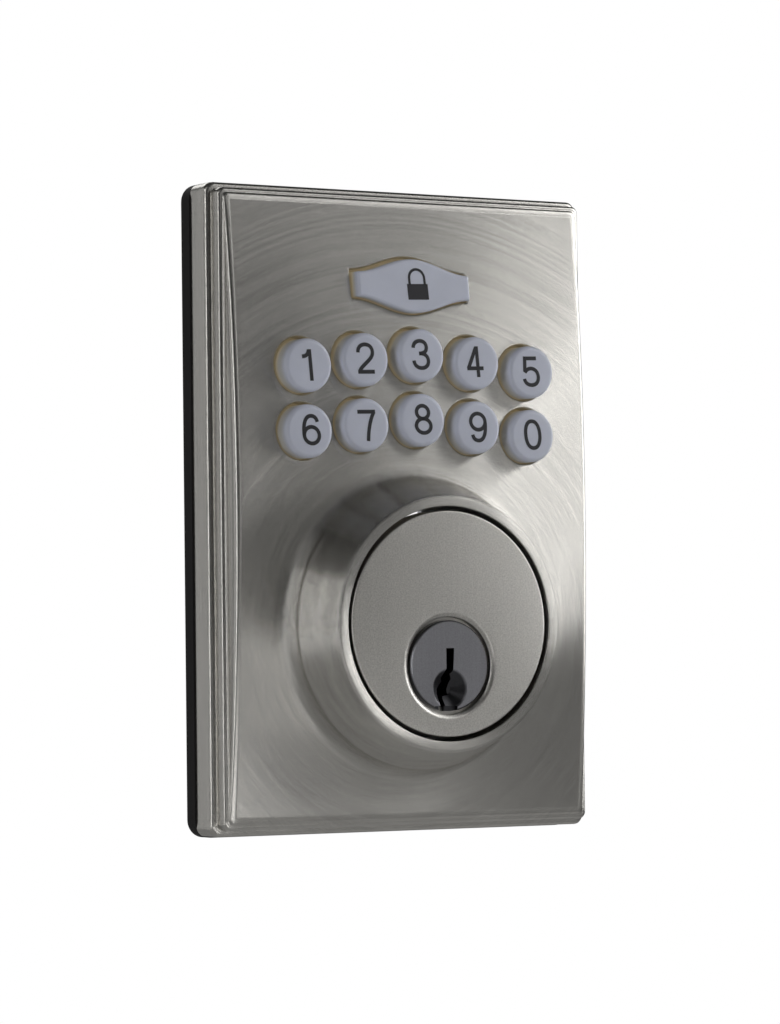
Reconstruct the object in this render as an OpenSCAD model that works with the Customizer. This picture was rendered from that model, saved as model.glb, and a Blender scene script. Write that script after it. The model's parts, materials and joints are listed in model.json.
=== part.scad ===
// Outside half of a compact keypad deadbolt.
// The lock is drawn lying on its back on a bench: x to the right, y up along the plate,
// z out of the door towards the user, with the cylinder axis at x = y = 0 and the door face at z = 0.
// on_door() stands each finished piece up, so that the front faces -Y and +Z is up.

/* [Escutcheon] */
// Width of the escutcheon
plate_w = 68; // [66:0.5:74]
// Height of the escutcheon
plate_h = 100.4; // [99.4:0.2:108]
// Height of the cylinder axis above the escutcheon's bottom edge
axis_up = 32.2; // [31.6:0.1:33.2]
// Radius of the escutcheon's corners
corner_r = 1.5; // [1.2:0.1:2.5]
// Rise of the outer wall from its back rim to the first ledge
wall_rise = 4.7; // [4.4:0.1:6]
// Thickness of the side walls
side_wall = 2.2; // [1.8:0.1:2.6]
// Width of each ledge of the stepped moulding
ledge_w = 1.0; // [0.8:0.1:1.4]
// Rise of the moulding's middle step
step_rise = 2.3; // [1.8:0.1:2.8]
// Rise from the middle step to the panel's top and bottom edges
panel_rise = 0.3; // [0.2:0.05:0.6]
// Extra rise of the crowned panel at its middle
crown_rise = 2.7; // [1.8:0.1:3]
// Rounding of the moulding's edges
edge_r = 0.5; // [0.3:0.05:0.6]
// Thickness of the panel at its crown, over the keypad
panel_t = 3.4; // [2.8:0.1:3.6]
// Thickness of the stiffening ribs and of the wall under the keypad
rib_t = 1.6; // [1.2:0.1:2]

/* [Collar] */
// Rise of the collar's lip over the panel's crown
collar_rise = 9.7; // [9:0.1:11]
// Width of the lip's flat ring
lip_w = 1.2; // [0.9:0.1:1.5]
// Rounding of the lip's outer edge
lip_r = 0.7; // [0.4:0.05:0.9]
// Outward slope of the collar's band, from the lip to the shoulder
band_spread = 2.2; // [1.2:0.1:2.6]
// Width of the cove between the shoulder and the panel
cove_w = 2.3; // [1.6:0.1:2.4]
// Height of the cove
cove_rise = 2.2; // [1.6:0.1:2.6]
// Thickness of the web that the cylinder seats on
web_t = 2.8; // [2.4:0.1:3.4]

/* [Gasket and back plate] */
// Thickness of the gasket between escutcheon and door
gasket_t = 2.6; // [2.4:0.1:3.4]
// Width of the gasket's edge that shows round the escutcheon
gasket_margin = 0.25; // [0:0.05:0.6]
// Corner radius of the gasket
gasket_corner = 2.75; // [2:0.25:4]
// Width of the gasket's pad, measured in from the edge
gasket_w = 7; // [6.8:0.1:8]
// Thickness of the steel back plate
back_plate_t = 1.2; // [1:0.1:1.5]
// Width of the back plate's lap on the escutcheon's rim
plate_lap = 1.1; // [0.8:0.1:1.3]
// Distance of the back plate's screws from the escutcheon's edges
plate_screw_inset = 4.6; // [4.4:0.1:4.8]
// Radius of the back plate's screws
plate_screw_r = 1.1; // [0.9:0.05:1.25]
// Width of the cable slot
cable_slot_w = 14; // [10:0.5:16]
// Height of the cable slot
cable_slot_h = 7.6; // [6:0.2:7.8]

/* [Mounting posts] */
// Distance between the two mounting posts
post_spacing = 41; // [40:0.5:42]
// Outer radius of a mounting post
post_r = 3.6; // [3.3:0.1:3.8]
// Radius of the thread in a mounting post
post_thread_r = 2.1; // [1.8:0.1:2.3]
// Reach of a mounting post into the door
post_reach = 10; // [8:0.5:14]
// Depth of the thread in a mounting post
post_thread_depth = 13; // [10:0.5:14]

/* [Keypad] */
// Distance from the escutcheon's side to the centre of the nearest key
key_side = 13.74; // [13:0.02:14.4]
// Distance from the escutcheon's top edge to the lock key
lock_margin = 11; // [10.4:0.1:11.4]
// Gap between the lock key and the key under it
row_gap = 2.4; // [2:0.05:3]
// Gap between the collar's cove and the key over it
collar_gap = 2.7; // [2.4:0.05:3.4]
// Least gap between two keys
key_space = 1.32; // [1.32:0.02:2.2]
// Lift of a row's second and fourth keys over its outer keys
inner_lift = 1.15; // [0.8:0.05:1.3]
// Lift of a row's middle key over its outer keys
centre_lift = 2.1; // [1.6:0.05:2.2]
// Rise of the round keys over the panel's crown
key_proud = 3.05; // [2.4:0.05:3.4]
// Rounding of a round key's top edge
key_edge = 0.6; // [0.4:0.05:1.2]
// Gap between a key and its opening
key_gap = 0.3; // [0.2:0.01:0.35]
// Width of the bevel round a key's opening
key_bevel = 0.2; // [0.1:0.02:0.2]
// Width of the flange that keeps a key in its opening
key_flange = 0.5; // [0.4:0.02:0.5]
// Thickness of that flange
flange_t = 0.8; // [0.6:0.05:0.9]
// Thickness of the pedestal that presses on the mat
pedestal_t = 0.5; // [0.4:0.05:0.6]
// Travel of a key
key_travel = 1.0; // [0.7:0.05:1.1]
// Width of the lock key
lock_key_w = 20.4; // [18:0.2:24]
// Height of the lock key at its middle
lock_key_h = 8.4; // [7.6:0.1:8.8]
// Height of the lock key at its ends
lock_key_end = 3.9; // [3.4:0.1:5]
// Distance that the lock key stands lower than the round keys
lock_key_drop = 2.7; // [1.8:0.1:2.8]
// Rounding of the lock key's front edge
lock_key_edge = 0.6; // [0.4:0.05:0.8]
// Thickness of the silicone keypad mat
mat_t = 0.7; // [0.5:0.05:0.8]
// Thickness of the circuit board
board_t = 1.2; // [1:0.1:1.3]
// Radius of the circuit board's screws
board_screw_r = 0.9; // [0.8:0.05:1]
// Distance of those screws from the board's sides
board_screw_inset = 1.53; // [1.5:0.01:1.6]
// Distance of those screws from the board's top and bottom edges
board_screw_end = 2.2; // [2.1:0.05:2.4]
// Skin of the mat's domes
dome_skin = 0.55; // [0.4:0.05:0.6]

/* [Parts on the board] */
// Length of a backlight lamp
led_l = 1.6; // [1.2:0.1:2]
// Width of a backlight lamp
led_w = 0.8; // [0.6:0.1:1]
// Thickness of a backlight lamp
led_t = 0.6; // [0.4:0.05:0.7]
// Width of the controller chip
chip_w = 7; // [5:0.5:8]
// Thickness of the controller chip
chip_t = 1.1; // [0.8:0.1:1.2]
// Distance of the chip's centre from the board's middle
chip_x = 12; // [9:0.5:14]
// Radius of the buzzer
buzzer_r = 4.5; // [4:0.25:5]
// Thickness of the buzzer
buzzer_t = 1.4; // [1:0.1:1.5]
// Distance of the buzzer's centre from the board's middle
buzzer_x = 13; // [10:0.5:15]
// Radius of the buzzer's sound hole
sound_hole_r = 0.6; // [0.4:0.1:0.8]
// Width of the cable socket
socket_w = 10; // [8:0.5:12]
// Depth of the cable socket
socket_d = 4.4; // [3.6:0.1:5]
// Wall of the cable socket
socket_wall = 0.45; // [0.4:0.05:0.6]

/* [Cylinder] */
// Radius of the cylinder's face
face_r = 17.4; // [17.2:0.1:17.8]
// Gap between the cylinder's face and the collar
face_gap = 0.7; // [0.4:0.05:0.8]
// Thickness of the cylinder's face
face_t = 3.7; // [3.4:0.1:4]
// Depth of the cylinder's face below the lip
face_sink = 0.2; // [0:0.05:0.5]
// Distance of the plug's axis below the centre of the face
plug_drop = 6.47; // [6.3:0.05:6.6]
// Radius of the plug
plug_r = 6.35; // [6.2:0.05:6.5]
// Radius of the plug's face
plug_face_r = 6.98; // [6.8:0.02:7.1]
// Bevel of the plug's face
plug_bevel = 0.25; // [0.1:0.05:0.4]
// Depth of the plug's face below the cylinder's face
plug_sink = 0.15; // [0.05:0.05:0.5]
// Width of the groove round the plug's face
groove_w = 0.56; // [0.4:0.02:0.7]
// Thickness of the plug's front flange
plug_flange_t = 1.3; // [1.1:0.1:1.6]
// Width of the bevelled rim round the groove
rim_w = 0.66; // [0.5:0.02:0.8]
// Wall of the cylinder body round the plug
barrel_wall = 2.3; // [2:0.1:2.4]
// Height of the pin tower's top above the plug's axis
tower_top = 19.3; // [18.6:0.1:19.5]
// Width of the pin tower
tower_w = 8.6; // [7.6:0.1:9]
// Reach of the cylinder body behind the door face
body_reach = 5.2; // [4.8:0.1:7]
// Radius of the pins
pin_r = 1.41; // [1.3:0.01:1.46]
// Distance from the plug's face to the first pin
first_pin = 6.1; // [5.8:0.1:6.4]
// Distance from pin to pin
pin_pitch = 3.97; // [3.8:0.01:4]
// Length of the driver pins
driver_l = 5; // [4:0.1:5.4]
// Thickness of the cover over the pin chambers
cover_t = 0.8; // [0.6:0.05:1]
// Land of the tower on each side of that cover
cover_land = 1.9; // [1.6:0.1:2.2]
// Radius of the screws that hold the cylinder
housing_screw_r = 1.25; // [1.1:0.05:1.4]
// Distance of those screws from the edge of the cylinder's face
housing_screw_inset = 4.6; // [4.4:0.1:4.8]
// Overhang of those screws' heads
housing_head_over = 1.2; // [1:0.1:1.4]
// Thickness of those screws' heads
housing_head_t = 1.7; // [1.4:0.1:2]
// Width of the keyway
keyway_w = 1.45; // [1.3:0.05:1.6]
// Height of the keyway's top above the plug's axis
keyway_top = 2.7; // [2.4:0.1:3]
// Radius of the conical key guide
guide_r = 3.1; // [2.6:0.1:3.1]
// Distance of the key guide's centre below the plug's axis
guide_drop = 3.5; // [3.3:0.05:3.55]
// Depth of the conical key guide
guide_depth = 1.5; // [1:0.1:1.6]
// Width of the notch at the foot of the plug's face
notch_w = 4; // [3.2:0.1:4.4]
// Height of that notch
notch_h = 0.8; // [0.6:0.05:0.9]

/* [Tailpiece] */
// Outer radius of the cap on the plug's rear
cap_r = 7.3; // [7:0.1:7.8]
// Radius of the plug's threaded neck
neck_r = 5.5; // [5.3:0.1:5.7]
// Width of the tailpiece's blade
blade_w = 6; // [5:0.1:6.4]
// Thickness of the tailpiece's blade
blade_t = 1.6; // [1.2:0.1:2]
// Reach of the blade behind the cap
blade_l = 48; // [36:1:56]
// Lost motion of the tailpiece, to each side
lost_angle = 45; // [30:1:60]
// Thickness of the plug's driving tongue
tongue_t = 2; // [1.6:0.1:2.4]

/* [Hidden] */
$fn = 64;
KEYS = ["1", "2", "3", "4", "5", "6", "7", "8", "9", "0"];
PINS = [1, 2, 3, 4, 5];
KEYS_PER_ROW = 5;

// clearances
running_gap = 0.05;   // between parts that turn or slide in each other
screw_gap = 0.03;     // between a screw's thread and its hole
fit_gap = 0.3;        // between parts that only pass each other
part_gap = 0.1;       // between parts that lie beside each other

// levels above the door face
rim_z = gasket_t;
ledge_z = rim_z + wall_rise;
step_z = ledge_z + step_rise;
crown_z = step_z + panel_rise + crown_rise;
lip_z = crown_z + collar_rise;
face_z = lip_z - face_sink;
seat_z = face_z - face_t;
web_z = seat_z - web_t;
plug_face_z = face_z - plug_sink;
deck_z = crown_z - panel_t;
low_deck_z = deck_z - 1.0;
plate_back_z = rim_z - back_plate_t;
body_back_z = -body_reach;

// the crowned panel: an arc along y, level across x
mid_y = plate_h / 2 - axis_up;
top_y = plate_h - axis_up;
panel_half = plate_h / 2 - 2 * ledge_w;
crown_r = (panel_half * panel_half + crown_rise * crown_rise) / (2 * crown_rise);
function panel_at(y) = crown_z - crown_r + sqrt(crown_r * crown_r - (y - mid_y) * (y - mid_y));
panel_tilt = asin(mid_y / crown_r);

// collar radii, from the bore outwards
bore_r = face_r + face_gap;
lip_out_r = bore_r + lip_w + lip_r;
shoulder_r = lip_out_r + band_spread;
cove_out_r = shoulder_r + cove_w + 0.3;
cavity_r = bore_r - 1.7;
ring_wall = 5.2;
ring_z = rim_z + 2.4;

// rear pockets
pocket_inset = side_wall + 2 * ledge_w;
pocket_x = plate_w / 2 - pocket_inset;

// keypad places: the columns spread with the plate, and the rows fill what the collar leaves free
row_room = top_y - lock_margin - lock_key_h - row_gap - collar_gap - cove_out_r;
key_pitch = (plate_w / 2 - key_side) / 2;
row_pitch = min(key_pitch, (row_room + key_space) / 2);
key_r = (row_pitch - key_space) / 2;
key_hole_r = key_r + key_gap;
lock_y = top_y - lock_margin - lock_key_h / 2;
row_y = lock_y - lock_key_h / 2 - row_gap - key_r - centre_lift;
key_z = crown_z + key_proud;
lock_key_z = key_z - lock_key_drop;
lifts = [0, inner_lift, centre_lift, inner_lift, 0];
function key_x(i) = (i % KEYS_PER_ROW - (KEYS_PER_ROW - 1) / 2) * key_pitch;
function key_y(i) = row_y - floor(i / KEYS_PER_ROW) * row_pitch + lifts[i % KEYS_PER_ROW];
pedestal_r = key_r * 0.44;
flange_z = deck_z - part_gap;
dome_z = flange_z - flange_t - pedestal_t - running_gap;
board_z = dome_z - key_travel - dome_skin - mat_t;
board_back_z = board_z - board_t;
mat_z = board_z + mat_t;
mat_low = row_y - row_pitch - key_r - key_flange - fit_gap;
mat_high = lock_y + lock_key_h / 2 + key_flange + 1.4;
board_x = pocket_x - 0.6;
board_low = mat_low - fit_gap;
board_high = top_y - plate_screw_inset - 2.6;
board_boss_r = board_screw_r + 0.9;
board_screw_x = board_x - board_screw_inset;
board_screw_ys = [board_low + board_screw_end, board_high - board_screw_end];
mat_x = board_screw_x - board_boss_r - 0.5;
divider_y = board_low - 0.6 - rib_t;
dome_r = key_r * 0.8;
led_xs = [-1.5, -0.5, 0.5, 1.5] * key_pitch;
led_y = row_y - row_pitch / 2 + inner_lift / 2;

// back plate screws and cable slot
plate_inset = side_wall - plate_lap;
plate_screw_x = plate_w / 2 - plate_screw_inset;
plate_screw_ys = [plate_screw_inset - axis_up, top_y - plate_screw_inset];
plate_boss_r = plate_screw_r + 1.1;
screw_head_r = plate_screw_r + 1;
slot_y = divider_y - part_gap - cable_slot_h / 2;

// mounting posts
post_x = post_spacing / 2;
post_boss_r = post_r + 1.4;
post_root_z = low_deck_z - 0.6;

// cylinder
plug_bore_r = plug_r + running_gap;
barrel_r = plug_bore_r + barrel_wall;
plug_recess_r = plug_face_r + groove_w;
plug_flange_z = plug_face_z - plug_flange_t;
pin_bore_r = pin_r + running_gap;
shear_y = sqrt(plug_r * plug_r - pin_r * pin_r) - 0.02;
driver_y = plug_r + 0.03;
cover_y = tower_top - cover_t;
chamber_floor = -1.6;
key_pin_tips = [0.9, -0.3, 0.5, -0.9, 0.1];
function pin_z(i) = plug_face_z - first_pin - (i - 1) * pin_pitch;
keyway_back_z = pin_z(len(PINS)) - 2 * pin_r;
housing_screw_x = face_r - housing_screw_inset;
housing_screw_y = -1;
drill_pin_r = 0.75;
drill_pin_x = 3.4;
drill_pin_y = [-3, 5];
drill_pin_z = plug_face_z - max(guide_depth, plug_flange_t) - drill_pin_r - 0.3;

// plug neck, cap and tailpiece
neck_z = body_back_z - running_gap;
neck_l = 2.4;
tongue_l = 1.4;
tongue_r = 3.5;
head_t = 2.1;
cap_wall = 1.1;
head_front_z = neck_z - neck_l - running_gap;
head_back_z = head_front_z - head_t;
cap_floor_z = head_back_z - running_gap;
cap_back_z = cap_floor_z - cap_wall;
head_r = neck_r - running_gap;
blade_back_z = cap_back_z - blade_l;

nickel = [0.64, 0.62, 0.57];
dark_nickel = [0.45, 0.45, 0.46];
zinc = [0.72, 0.73, 0.75];
brass = [0.78, 0.63, 0.34];
rubber_black = [0.05, 0.05, 0.06];
key_white = [0.78, 0.79, 0.86];
steel = [0.6, 0.6, 0.62];

module on_door() {
    rotate([90, 0, 0]) children();
}

module at_height(z) {
    translate([0, 0, z]) children();
}

// a cylinder between two levels
module rod(r, low, high, x = 0, y = 0) {
    translate([x, y, low]) cylinder(r = r, h = high - low);
}

module mirror_x() {
    for (side = [-1, 1]) scale([side, 1, 1]) children();
}

module rounded_rect(w, h, r) {
    square([w - 2 * r, h], center = true);
    square([w, h - 2 * r], center = true);
    for (x = [-1, 1], y = [-1, 1]) {
        translate([x * (w / 2 - r), y * (h / 2 - r)]) circle(r);
    }
}

// the escutcheon's outline, moved in by inset
module outline(inset, r) {
    translate([0, mid_y]) rounded_rect(plate_w - 2 * inset, plate_h - 2 * inset, r);
}

// a rectangle between two heights, centred across the plate
module band(half_w, low, high) {
    translate([-half_w, low]) square([2 * half_w, high - low]);
}

// a slab of the outline with a rounded front edge
module soft_slab(inset, r, low, high) {
    steps = 4;
    hull() {
        for (i = [0:steps]) {
            turn = 90 * i / steps;
            sink = edge_r * (1 - sin(turn));
            draw_in = edge_r * (1 - cos(turn));
            at_height(low) {
                linear_extrude(high - low - sink) {
                    outline(inset + draw_in, max(r - draw_in, 0.2), $fn = 24);
                }
            }
        }
    }
}

// the crowned block, cut off at the middle step
module crowned_block(inset, sink) {
    segments = 28;
    low = mid_y - plate_h / 2 + inset;
    high = mid_y + plate_h / 2 - inset;
    arc = [
        for (i = [0:segments])
            let (y = low + (high - low) * i / segments) [y, panel_at(y) - sink]
    ];
    rotate([90, 0, 90]) {
        linear_extrude(plate_w - 2 * inset, center = true) {
            polygon(concat(arc, [[high, step_z - 1], [low, step_z - 1]]));
        }
    }
}

// the panel and the slope that rises to it from the middle step
module panel_form() {
    hull() {
        at_height(step_z - 1) linear_extrude(1) outline(ledge_w + edge_r, 0.3, $fn = 24);
        crowned_block(2 * ledge_w, edge_r / 2);
        crowned_block(2 * ledge_w + edge_r / 2, edge_r / 8);
        crowned_block(2 * ledge_w + edge_r, 0);
    }
}

// the collar's straight part: band and lip
module collar_form() {
    arc_steps = 6;
    band_foot = panel_at(0) + cove_rise + 0.4;
    lip = [
        for (i = [0:arc_steps])
            let (a = 90 * i / arc_steps)
                [lip_out_r - lip_r * (1 - cos(a)), lip_z - lip_r * (1 - sin(a))]
    ];
    rotate_extrude() {
        polygon(concat(
            [[0, deck_z], [shoulder_r, deck_z], [shoulder_r, band_foot]],
            [[shoulder_r - 0.15, band_foot + 0.35]],
            lip,
            [[0, lip_z]]
        ));
    }
}

// the cove at the collar's foot, tipped to lie along the crowned panel
module cove_form() {
    arc_steps = 8;
    foot = panel_at(0) - 0.35;
    cove = [
        for (i = [0:arc_steps])
            let (a = 90 * i / arc_steps)
                [cove_out_r - cove_w * sin(a), foot + (cove_rise + 0.35) * (1 - cos(a))]
    ];
    translate([0, 0, foot]) {
        rotate([panel_tilt, 0, 0]) {
            translate([0, 0, -foot]) {
                rotate_extrude() {
                    polygon(concat([[0, foot - 1.6], [cove_out_r, foot - 1.6]], cove,
                        [[0, foot + cove_rise + 0.35]]));
                }
            }
        }
    }
}

module rear_pockets() {
    at_height(rim_z - 1) {
        linear_extrude(low_deck_z - rim_z + 1) {
            difference() {
                outline(pocket_inset, 1.5);
                band(plate_w, divider_y, divider_y + rib_t);
            }
        }
        linear_extrude(deck_z - rim_z + 1) {
            band(pocket_x, divider_y + rib_t, mat_high + 0.5);
        }
    }
}

module rear_bosses() {
    for (y = plate_screw_ys, side = [-1, 1]) {
        rod(plate_boss_r, rim_z, low_deck_z + 0.5, side * plate_screw_x, y);
    }
    for (y = board_screw_ys, side = [-1, 1]) {
        rod(board_boss_r, board_z, deck_z + 0.3, side * board_screw_x, y);
    }
    for (side = [-1, 1]) rod(post_boss_r, rim_z, low_deck_z + 0.5, side * post_x);
    rod(cavity_r + ring_wall, ring_z, low_deck_z + 0.5);
    intersection() {
        at_height(ring_z + 1) linear_extrude(low_deck_z - ring_z - 0.5) outline(2 * ledge_w, 1);
        for (a = [-128, -52, -90]) {
            rotate([0, 0, a]) {
                translate([cavity_r, -rib_t / 2, ring_z]) cube([plate_h, rib_t, low_deck_z - ring_z + 0.5]);
            }
        }
    }
}

// clearance round the cylinder's body: barrel and pin tower
module body_outline(gap) {
    translate([0, -plug_drop]) {
        circle(barrel_r + gap);
        translate([-tower_w / 2 - gap, 0]) square([tower_w + 2 * gap, tower_top + gap]);
    }
}

module collar_bores() {
    rod(bore_r, seat_z, lip_z + 1);
    rod(cavity_r, rim_z - 1, web_z);
    at_height(web_z - 1) linear_extrude(web_t + 2) body_outline(fit_gap);
    for (side = [-1, 1]) {
        rod(housing_screw_r + fit_gap, web_z - 1, seat_z + 1, side * housing_screw_x, housing_screw_y);
    }
}

// the lock key's outline: flat ends and ogee sides that swell to the middle
function lock_key_half(x, margin) =
    margin + lock_key_end / 2 + (lock_key_h - lock_key_end) * (1 + cos(360 * x / lock_key_w)) / 4;

module lock_key_outline(margin) {
    segments = 24;
    reach = lock_key_w / 2;
    upper = [
        for (i = [0:segments])
            let (x = -reach + 2 * reach * i / segments)
                [x * (reach + margin) / reach, lock_key_half(x, margin)]
    ];
    lower = [for (i = [segments:-1:0]) [upper[i].x, -upper[i].y]];
    polygon(concat(upper, lower));
}

module key_openings() {
    for (i = [0:len(KEYS) - 1]) {
        surface_z = panel_at(key_y(i));
        rod(key_hole_r, rim_z, key_z, key_x(i), key_y(i));
        translate([key_x(i), key_y(i), surface_z - key_bevel]) {
            cylinder(r1 = key_hole_r, r2 = key_hole_r + 2 * key_bevel, h = 2 * key_bevel);
        }
    }
    translate([0, lock_y, rim_z]) linear_extrude(key_z) lock_key_outline(key_gap);
}

module escutcheon_pilots() {
    for (y = plate_screw_ys, side = [-1, 1]) {
        rod(plate_screw_r + screw_gap, rim_z - 1, low_deck_z - 0.5, side * plate_screw_x, y);
    }
    for (y = board_screw_ys, side = [-1, 1]) {
        rod(board_screw_r + screw_gap, board_z - 1, low_deck_z + 0.2, side * board_screw_x, y);
    }
    for (side = [-1, 1]) rod(post_r, rim_z - 1, post_root_z, side * post_x);
    translate([-cable_slot_w / 2, divider_y - 1, rim_z - 1]) {
        cube([cable_slot_w, rib_t + 2, board_z - rim_z + 1]);
    }
}

module escutcheon() {
    color(nickel) on_door() difference() {
        union() {
            difference() {
                union() {
                    soft_slab(0, corner_r, rim_z, ledge_z);
                    soft_slab(ledge_w, corner_r - 0.5, rim_z + 1, step_z);
                    panel_form();
                    collar_form();
                    cove_form();
                }
                rear_pockets();
            }
            rear_bosses();
        }
        collar_bores();
        key_openings();
        escutcheon_pilots();
    }
}

// rubber pad behind the back plate, with a lip that wraps its edge
module gasket() {
    color(rubber_black) on_door() difference() {
        linear_extrude(gasket_t) outline(-gasket_margin, gasket_corner);
        at_height(plate_back_z) linear_extrude(gasket_t) outline(plate_inset - part_gap, 2);
        at_height(-1) linear_extrude(gasket_t + 2) outline(gasket_w, 2);
        for (y = plate_screw_ys, side = [-1, 1]) {
            rod(screw_head_r + fit_gap, -1, rim_z, side * plate_screw_x, y);
        }
    }
}

module back_plate() {
    color(zinc) on_door() at_height(plate_back_z) linear_extrude(back_plate_t) difference() {
        outline(plate_inset, 2);
        body_outline(fit_gap);
        translate([0, slot_y]) rounded_rect(cable_slot_w, cable_slot_h, 2);
        for (side = [-1, 1]) {
            translate([side * post_x, 0]) circle(post_r + running_gap);
            for (y = plate_screw_ys) translate([side * plate_screw_x, y]) circle(plate_screw_r + part_gap);
        }
    }
}

// a pan-head screw with a cross recess, its head's underside at z = 0 and its shank going up
module pan_screw(shank_r, head_r, head_t, shank_l) {
    difference() {
        union() {
            cylinder(r = shank_r, h = shank_l);
            translate([0, 0, -head_t]) cylinder(r1 = head_r - 0.35, r2 = head_r, h = 0.35);
            translate([0, 0, 0.35 - head_t]) cylinder(r = head_r, h = head_t - 0.35);
        }
        for (a = [0, 90]) {
            rotate([0, 0, a]) {
                translate([-head_r * 0.55, -head_r * 0.12, -head_t - 1]) {
                    cube([head_r * 1.1, head_r * 0.24, 1 + head_t * 0.6]);
                }
            }
        }
    }
}

module back_plate_screws() {
    color(steel) on_door() for (y = plate_screw_ys, side = [-1, 1]) {
        translate([side * plate_screw_x, y, plate_back_z]) {
            pan_screw(plate_screw_r, screw_head_r, plate_back_z - part_gap, low_deck_z - 1 - plate_back_z);
        }
    }
}

module mounting_posts() {
    chamfer = 0.5;
    color(zinc) on_door() for (side = [-1, 1]) {
        translate([side * post_x, 0, -post_reach]) difference() {
            union() {
                cylinder(r1 = post_r - chamfer, r2 = post_r, h = chamfer);
                translate([0, 0, chamfer]) cylinder(r = post_r, h = post_root_z + post_reach - chamfer);
            }
            translate([0, 0, -1]) cylinder(r = post_thread_r, h = post_thread_depth + 1);
        }
    }
}

// a round key: pedestal, flange and a stem with a softly rounded top edge
module digit_key(i) {
    arc_steps = 6;
    edge = [
        for (j = [0:arc_steps])
            let (a = 90 * j / arc_steps)
                [key_r - key_edge * (1 - cos(a)), key_z - key_edge * (1 - sin(a))]
    ];
    color(key_white) on_door() translate([key_x(i), key_y(i)]) rotate_extrude() {
        polygon(concat(
            [[0, flange_z - flange_t - pedestal_t], [pedestal_r, flange_z - flange_t - pedestal_t]],
            [[pedestal_r, flange_z - flange_t], [key_r + key_flange, flange_z - flange_t]],
            [[key_r + key_flange, flange_z], [key_r, flange_z]],
            edge,
            [[0, key_z]]
        ));
    }
}

// the lock key, its front edge rounded by a quarter circle
module lock_key() {
    edge = lock_key_edge;
    color(key_white) on_door() translate([0, lock_y]) {
        at_height(flange_z - flange_t) linear_extrude(flange_t) lock_key_outline(key_flange);
        at_height(flange_z - flange_t) minkowski() {
            linear_extrude(lock_key_z - flange_z + flange_t - edge) lock_key_outline(-edge);
            rotate_extrude($fn = 16) intersection() {
                circle(edge);
                square(edge);
            }
        }
        rod(pedestal_r, flange_z - flange_t - pedestal_t, flange_z - flange_t + 0.1);
    }
}

// places of the mat's domes: one under each key
dome_places = concat([for (i = [0:len(KEYS) - 1]) [key_x(i), key_y(i)]], [[0, lock_y]]);

module keypad_mat() {
    neck = dome_r * 0.6;
    hollow_neck = neck * 0.7;
    hollow_z = dome_z - dome_skin;
    color([0.74, 0.74, 0.7]) on_door() difference() {
        union() {
            at_height(board_z) linear_extrude(mat_t) band(mat_x, mat_low, mat_high);
            for (p = dome_places) {
                translate([p.x, p.y, mat_z - 0.1]) cylinder(r1 = dome_r, r2 = neck, h = dome_z - mat_z + 0.1);
            }
        }
        for (p = dome_places) {
            translate([p.x, p.y, board_z - 0.1]) {
                cylinder(r1 = dome_r * 0.84, r2 = hollow_neck, h = hollow_z - board_z + 0.1);
            }
        }
        for (x = led_xs) rod(led_l * 0.75, board_z - 1, mat_z + 1, x, led_y);
    }
}

module keypad_board() {
    color([0.1, 0.36, 0.2]) on_door() at_height(board_back_z) linear_extrude(board_t) difference() {
        band(board_x, board_low, board_high);
        for (y = board_screw_ys, side = [-1, 1]) {
            translate([side * board_screw_x, y]) circle(board_screw_r + part_gap);
        }
    }
}

module board_screws() {
    color(steel) on_door() for (y = board_screw_ys, side = [-1, 1]) {
        translate([side * board_screw_x, y, board_back_z]) {
            pan_screw(board_screw_r, board_boss_r, 1, low_deck_z - board_back_z - 0.1);
        }
    }
}

module backlight_leds() {
    color([0.95, 0.75, 0.3]) on_door() for (x = led_xs) {
        translate([x, led_y, board_z + led_t / 2]) cube([led_l, led_w, led_t], center = true);
    }
}

module controller_chip() {
    color([0.08, 0.08, 0.09]) on_door() {
        translate([-chip_x, row_y, board_back_z - chip_t / 2]) cube([chip_w, chip_w, chip_t], center = true);
    }
}

module buzzer() {
    color([0.1, 0.1, 0.1]) on_door() difference() {
        rod(buzzer_r, board_back_z - buzzer_t, board_back_z, buzzer_x, row_y);
        rod(sound_hole_r, board_back_z - buzzer_t - 1, board_back_z - buzzer_t / 2, buzzer_x, row_y);
    }
}

// the low socket that the inside unit's cable plugs into, its mouth facing down to the slot
module cable_socket() {
    high = board_back_z - rim_z - part_gap;
    hollow = [socket_w - 2 * socket_wall, socket_d, high - 2 * socket_wall];
    color([0.88, 0.85, 0.74]) on_door() translate([0, board_low + 0.2, board_back_z - high]) difference() {
        translate([-socket_w / 2, 0, 0]) cube([socket_w, socket_d, high]);
        translate([-hollow.x / 2, -socket_wall, socket_wall]) cube(hollow);
    }
}

// moves a piece drawn along z onto pin i, with z = 0 at the plug's axis
module at_pin(i) {
    translate([0, -plug_drop, pin_z(i)]) rotate([-90, 0, 0]) children();
}

module cylinder_housing() {
    bevel = 0.35;
    color(nickel) on_door() difference() {
        union() {
            rod(face_r, seat_z, face_z - bevel);
            translate([0, 0, face_z - bevel]) cylinder(r1 = face_r, r2 = face_r - bevel, h = bevel);
            at_height(body_back_z) linear_extrude(seat_z - body_back_z + 1) body_outline(0);
        }
        translate([0, -plug_drop]) {
            rod(plug_bore_r, body_back_z - 1, face_z);
            rod(plug_recess_r, plug_flange_z - running_gap, face_z + 1);
            translate([0, 0, face_z - rim_w / 2]) {
                cylinder(r1 = plug_recess_r, r2 = plug_recess_r + rim_w, h = rim_w / 2 + 0.001);
            }
            translate([cover_land - tower_w / 2, cover_y, body_back_z - 1]) {
                cube([tower_w - 2 * cover_land, cover_t + 1, seat_z - cover_t - body_back_z + 1]);
            }
        }
        for (i = PINS) at_pin(i) rod(pin_bore_r, 0, cover_y + 0.1);
        for (side = [-1, 1]) {
            rod(housing_screw_r + screw_gap, seat_z - 1, face_z - 1.2, side * housing_screw_x, housing_screw_y);
        }
    }
}

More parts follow.
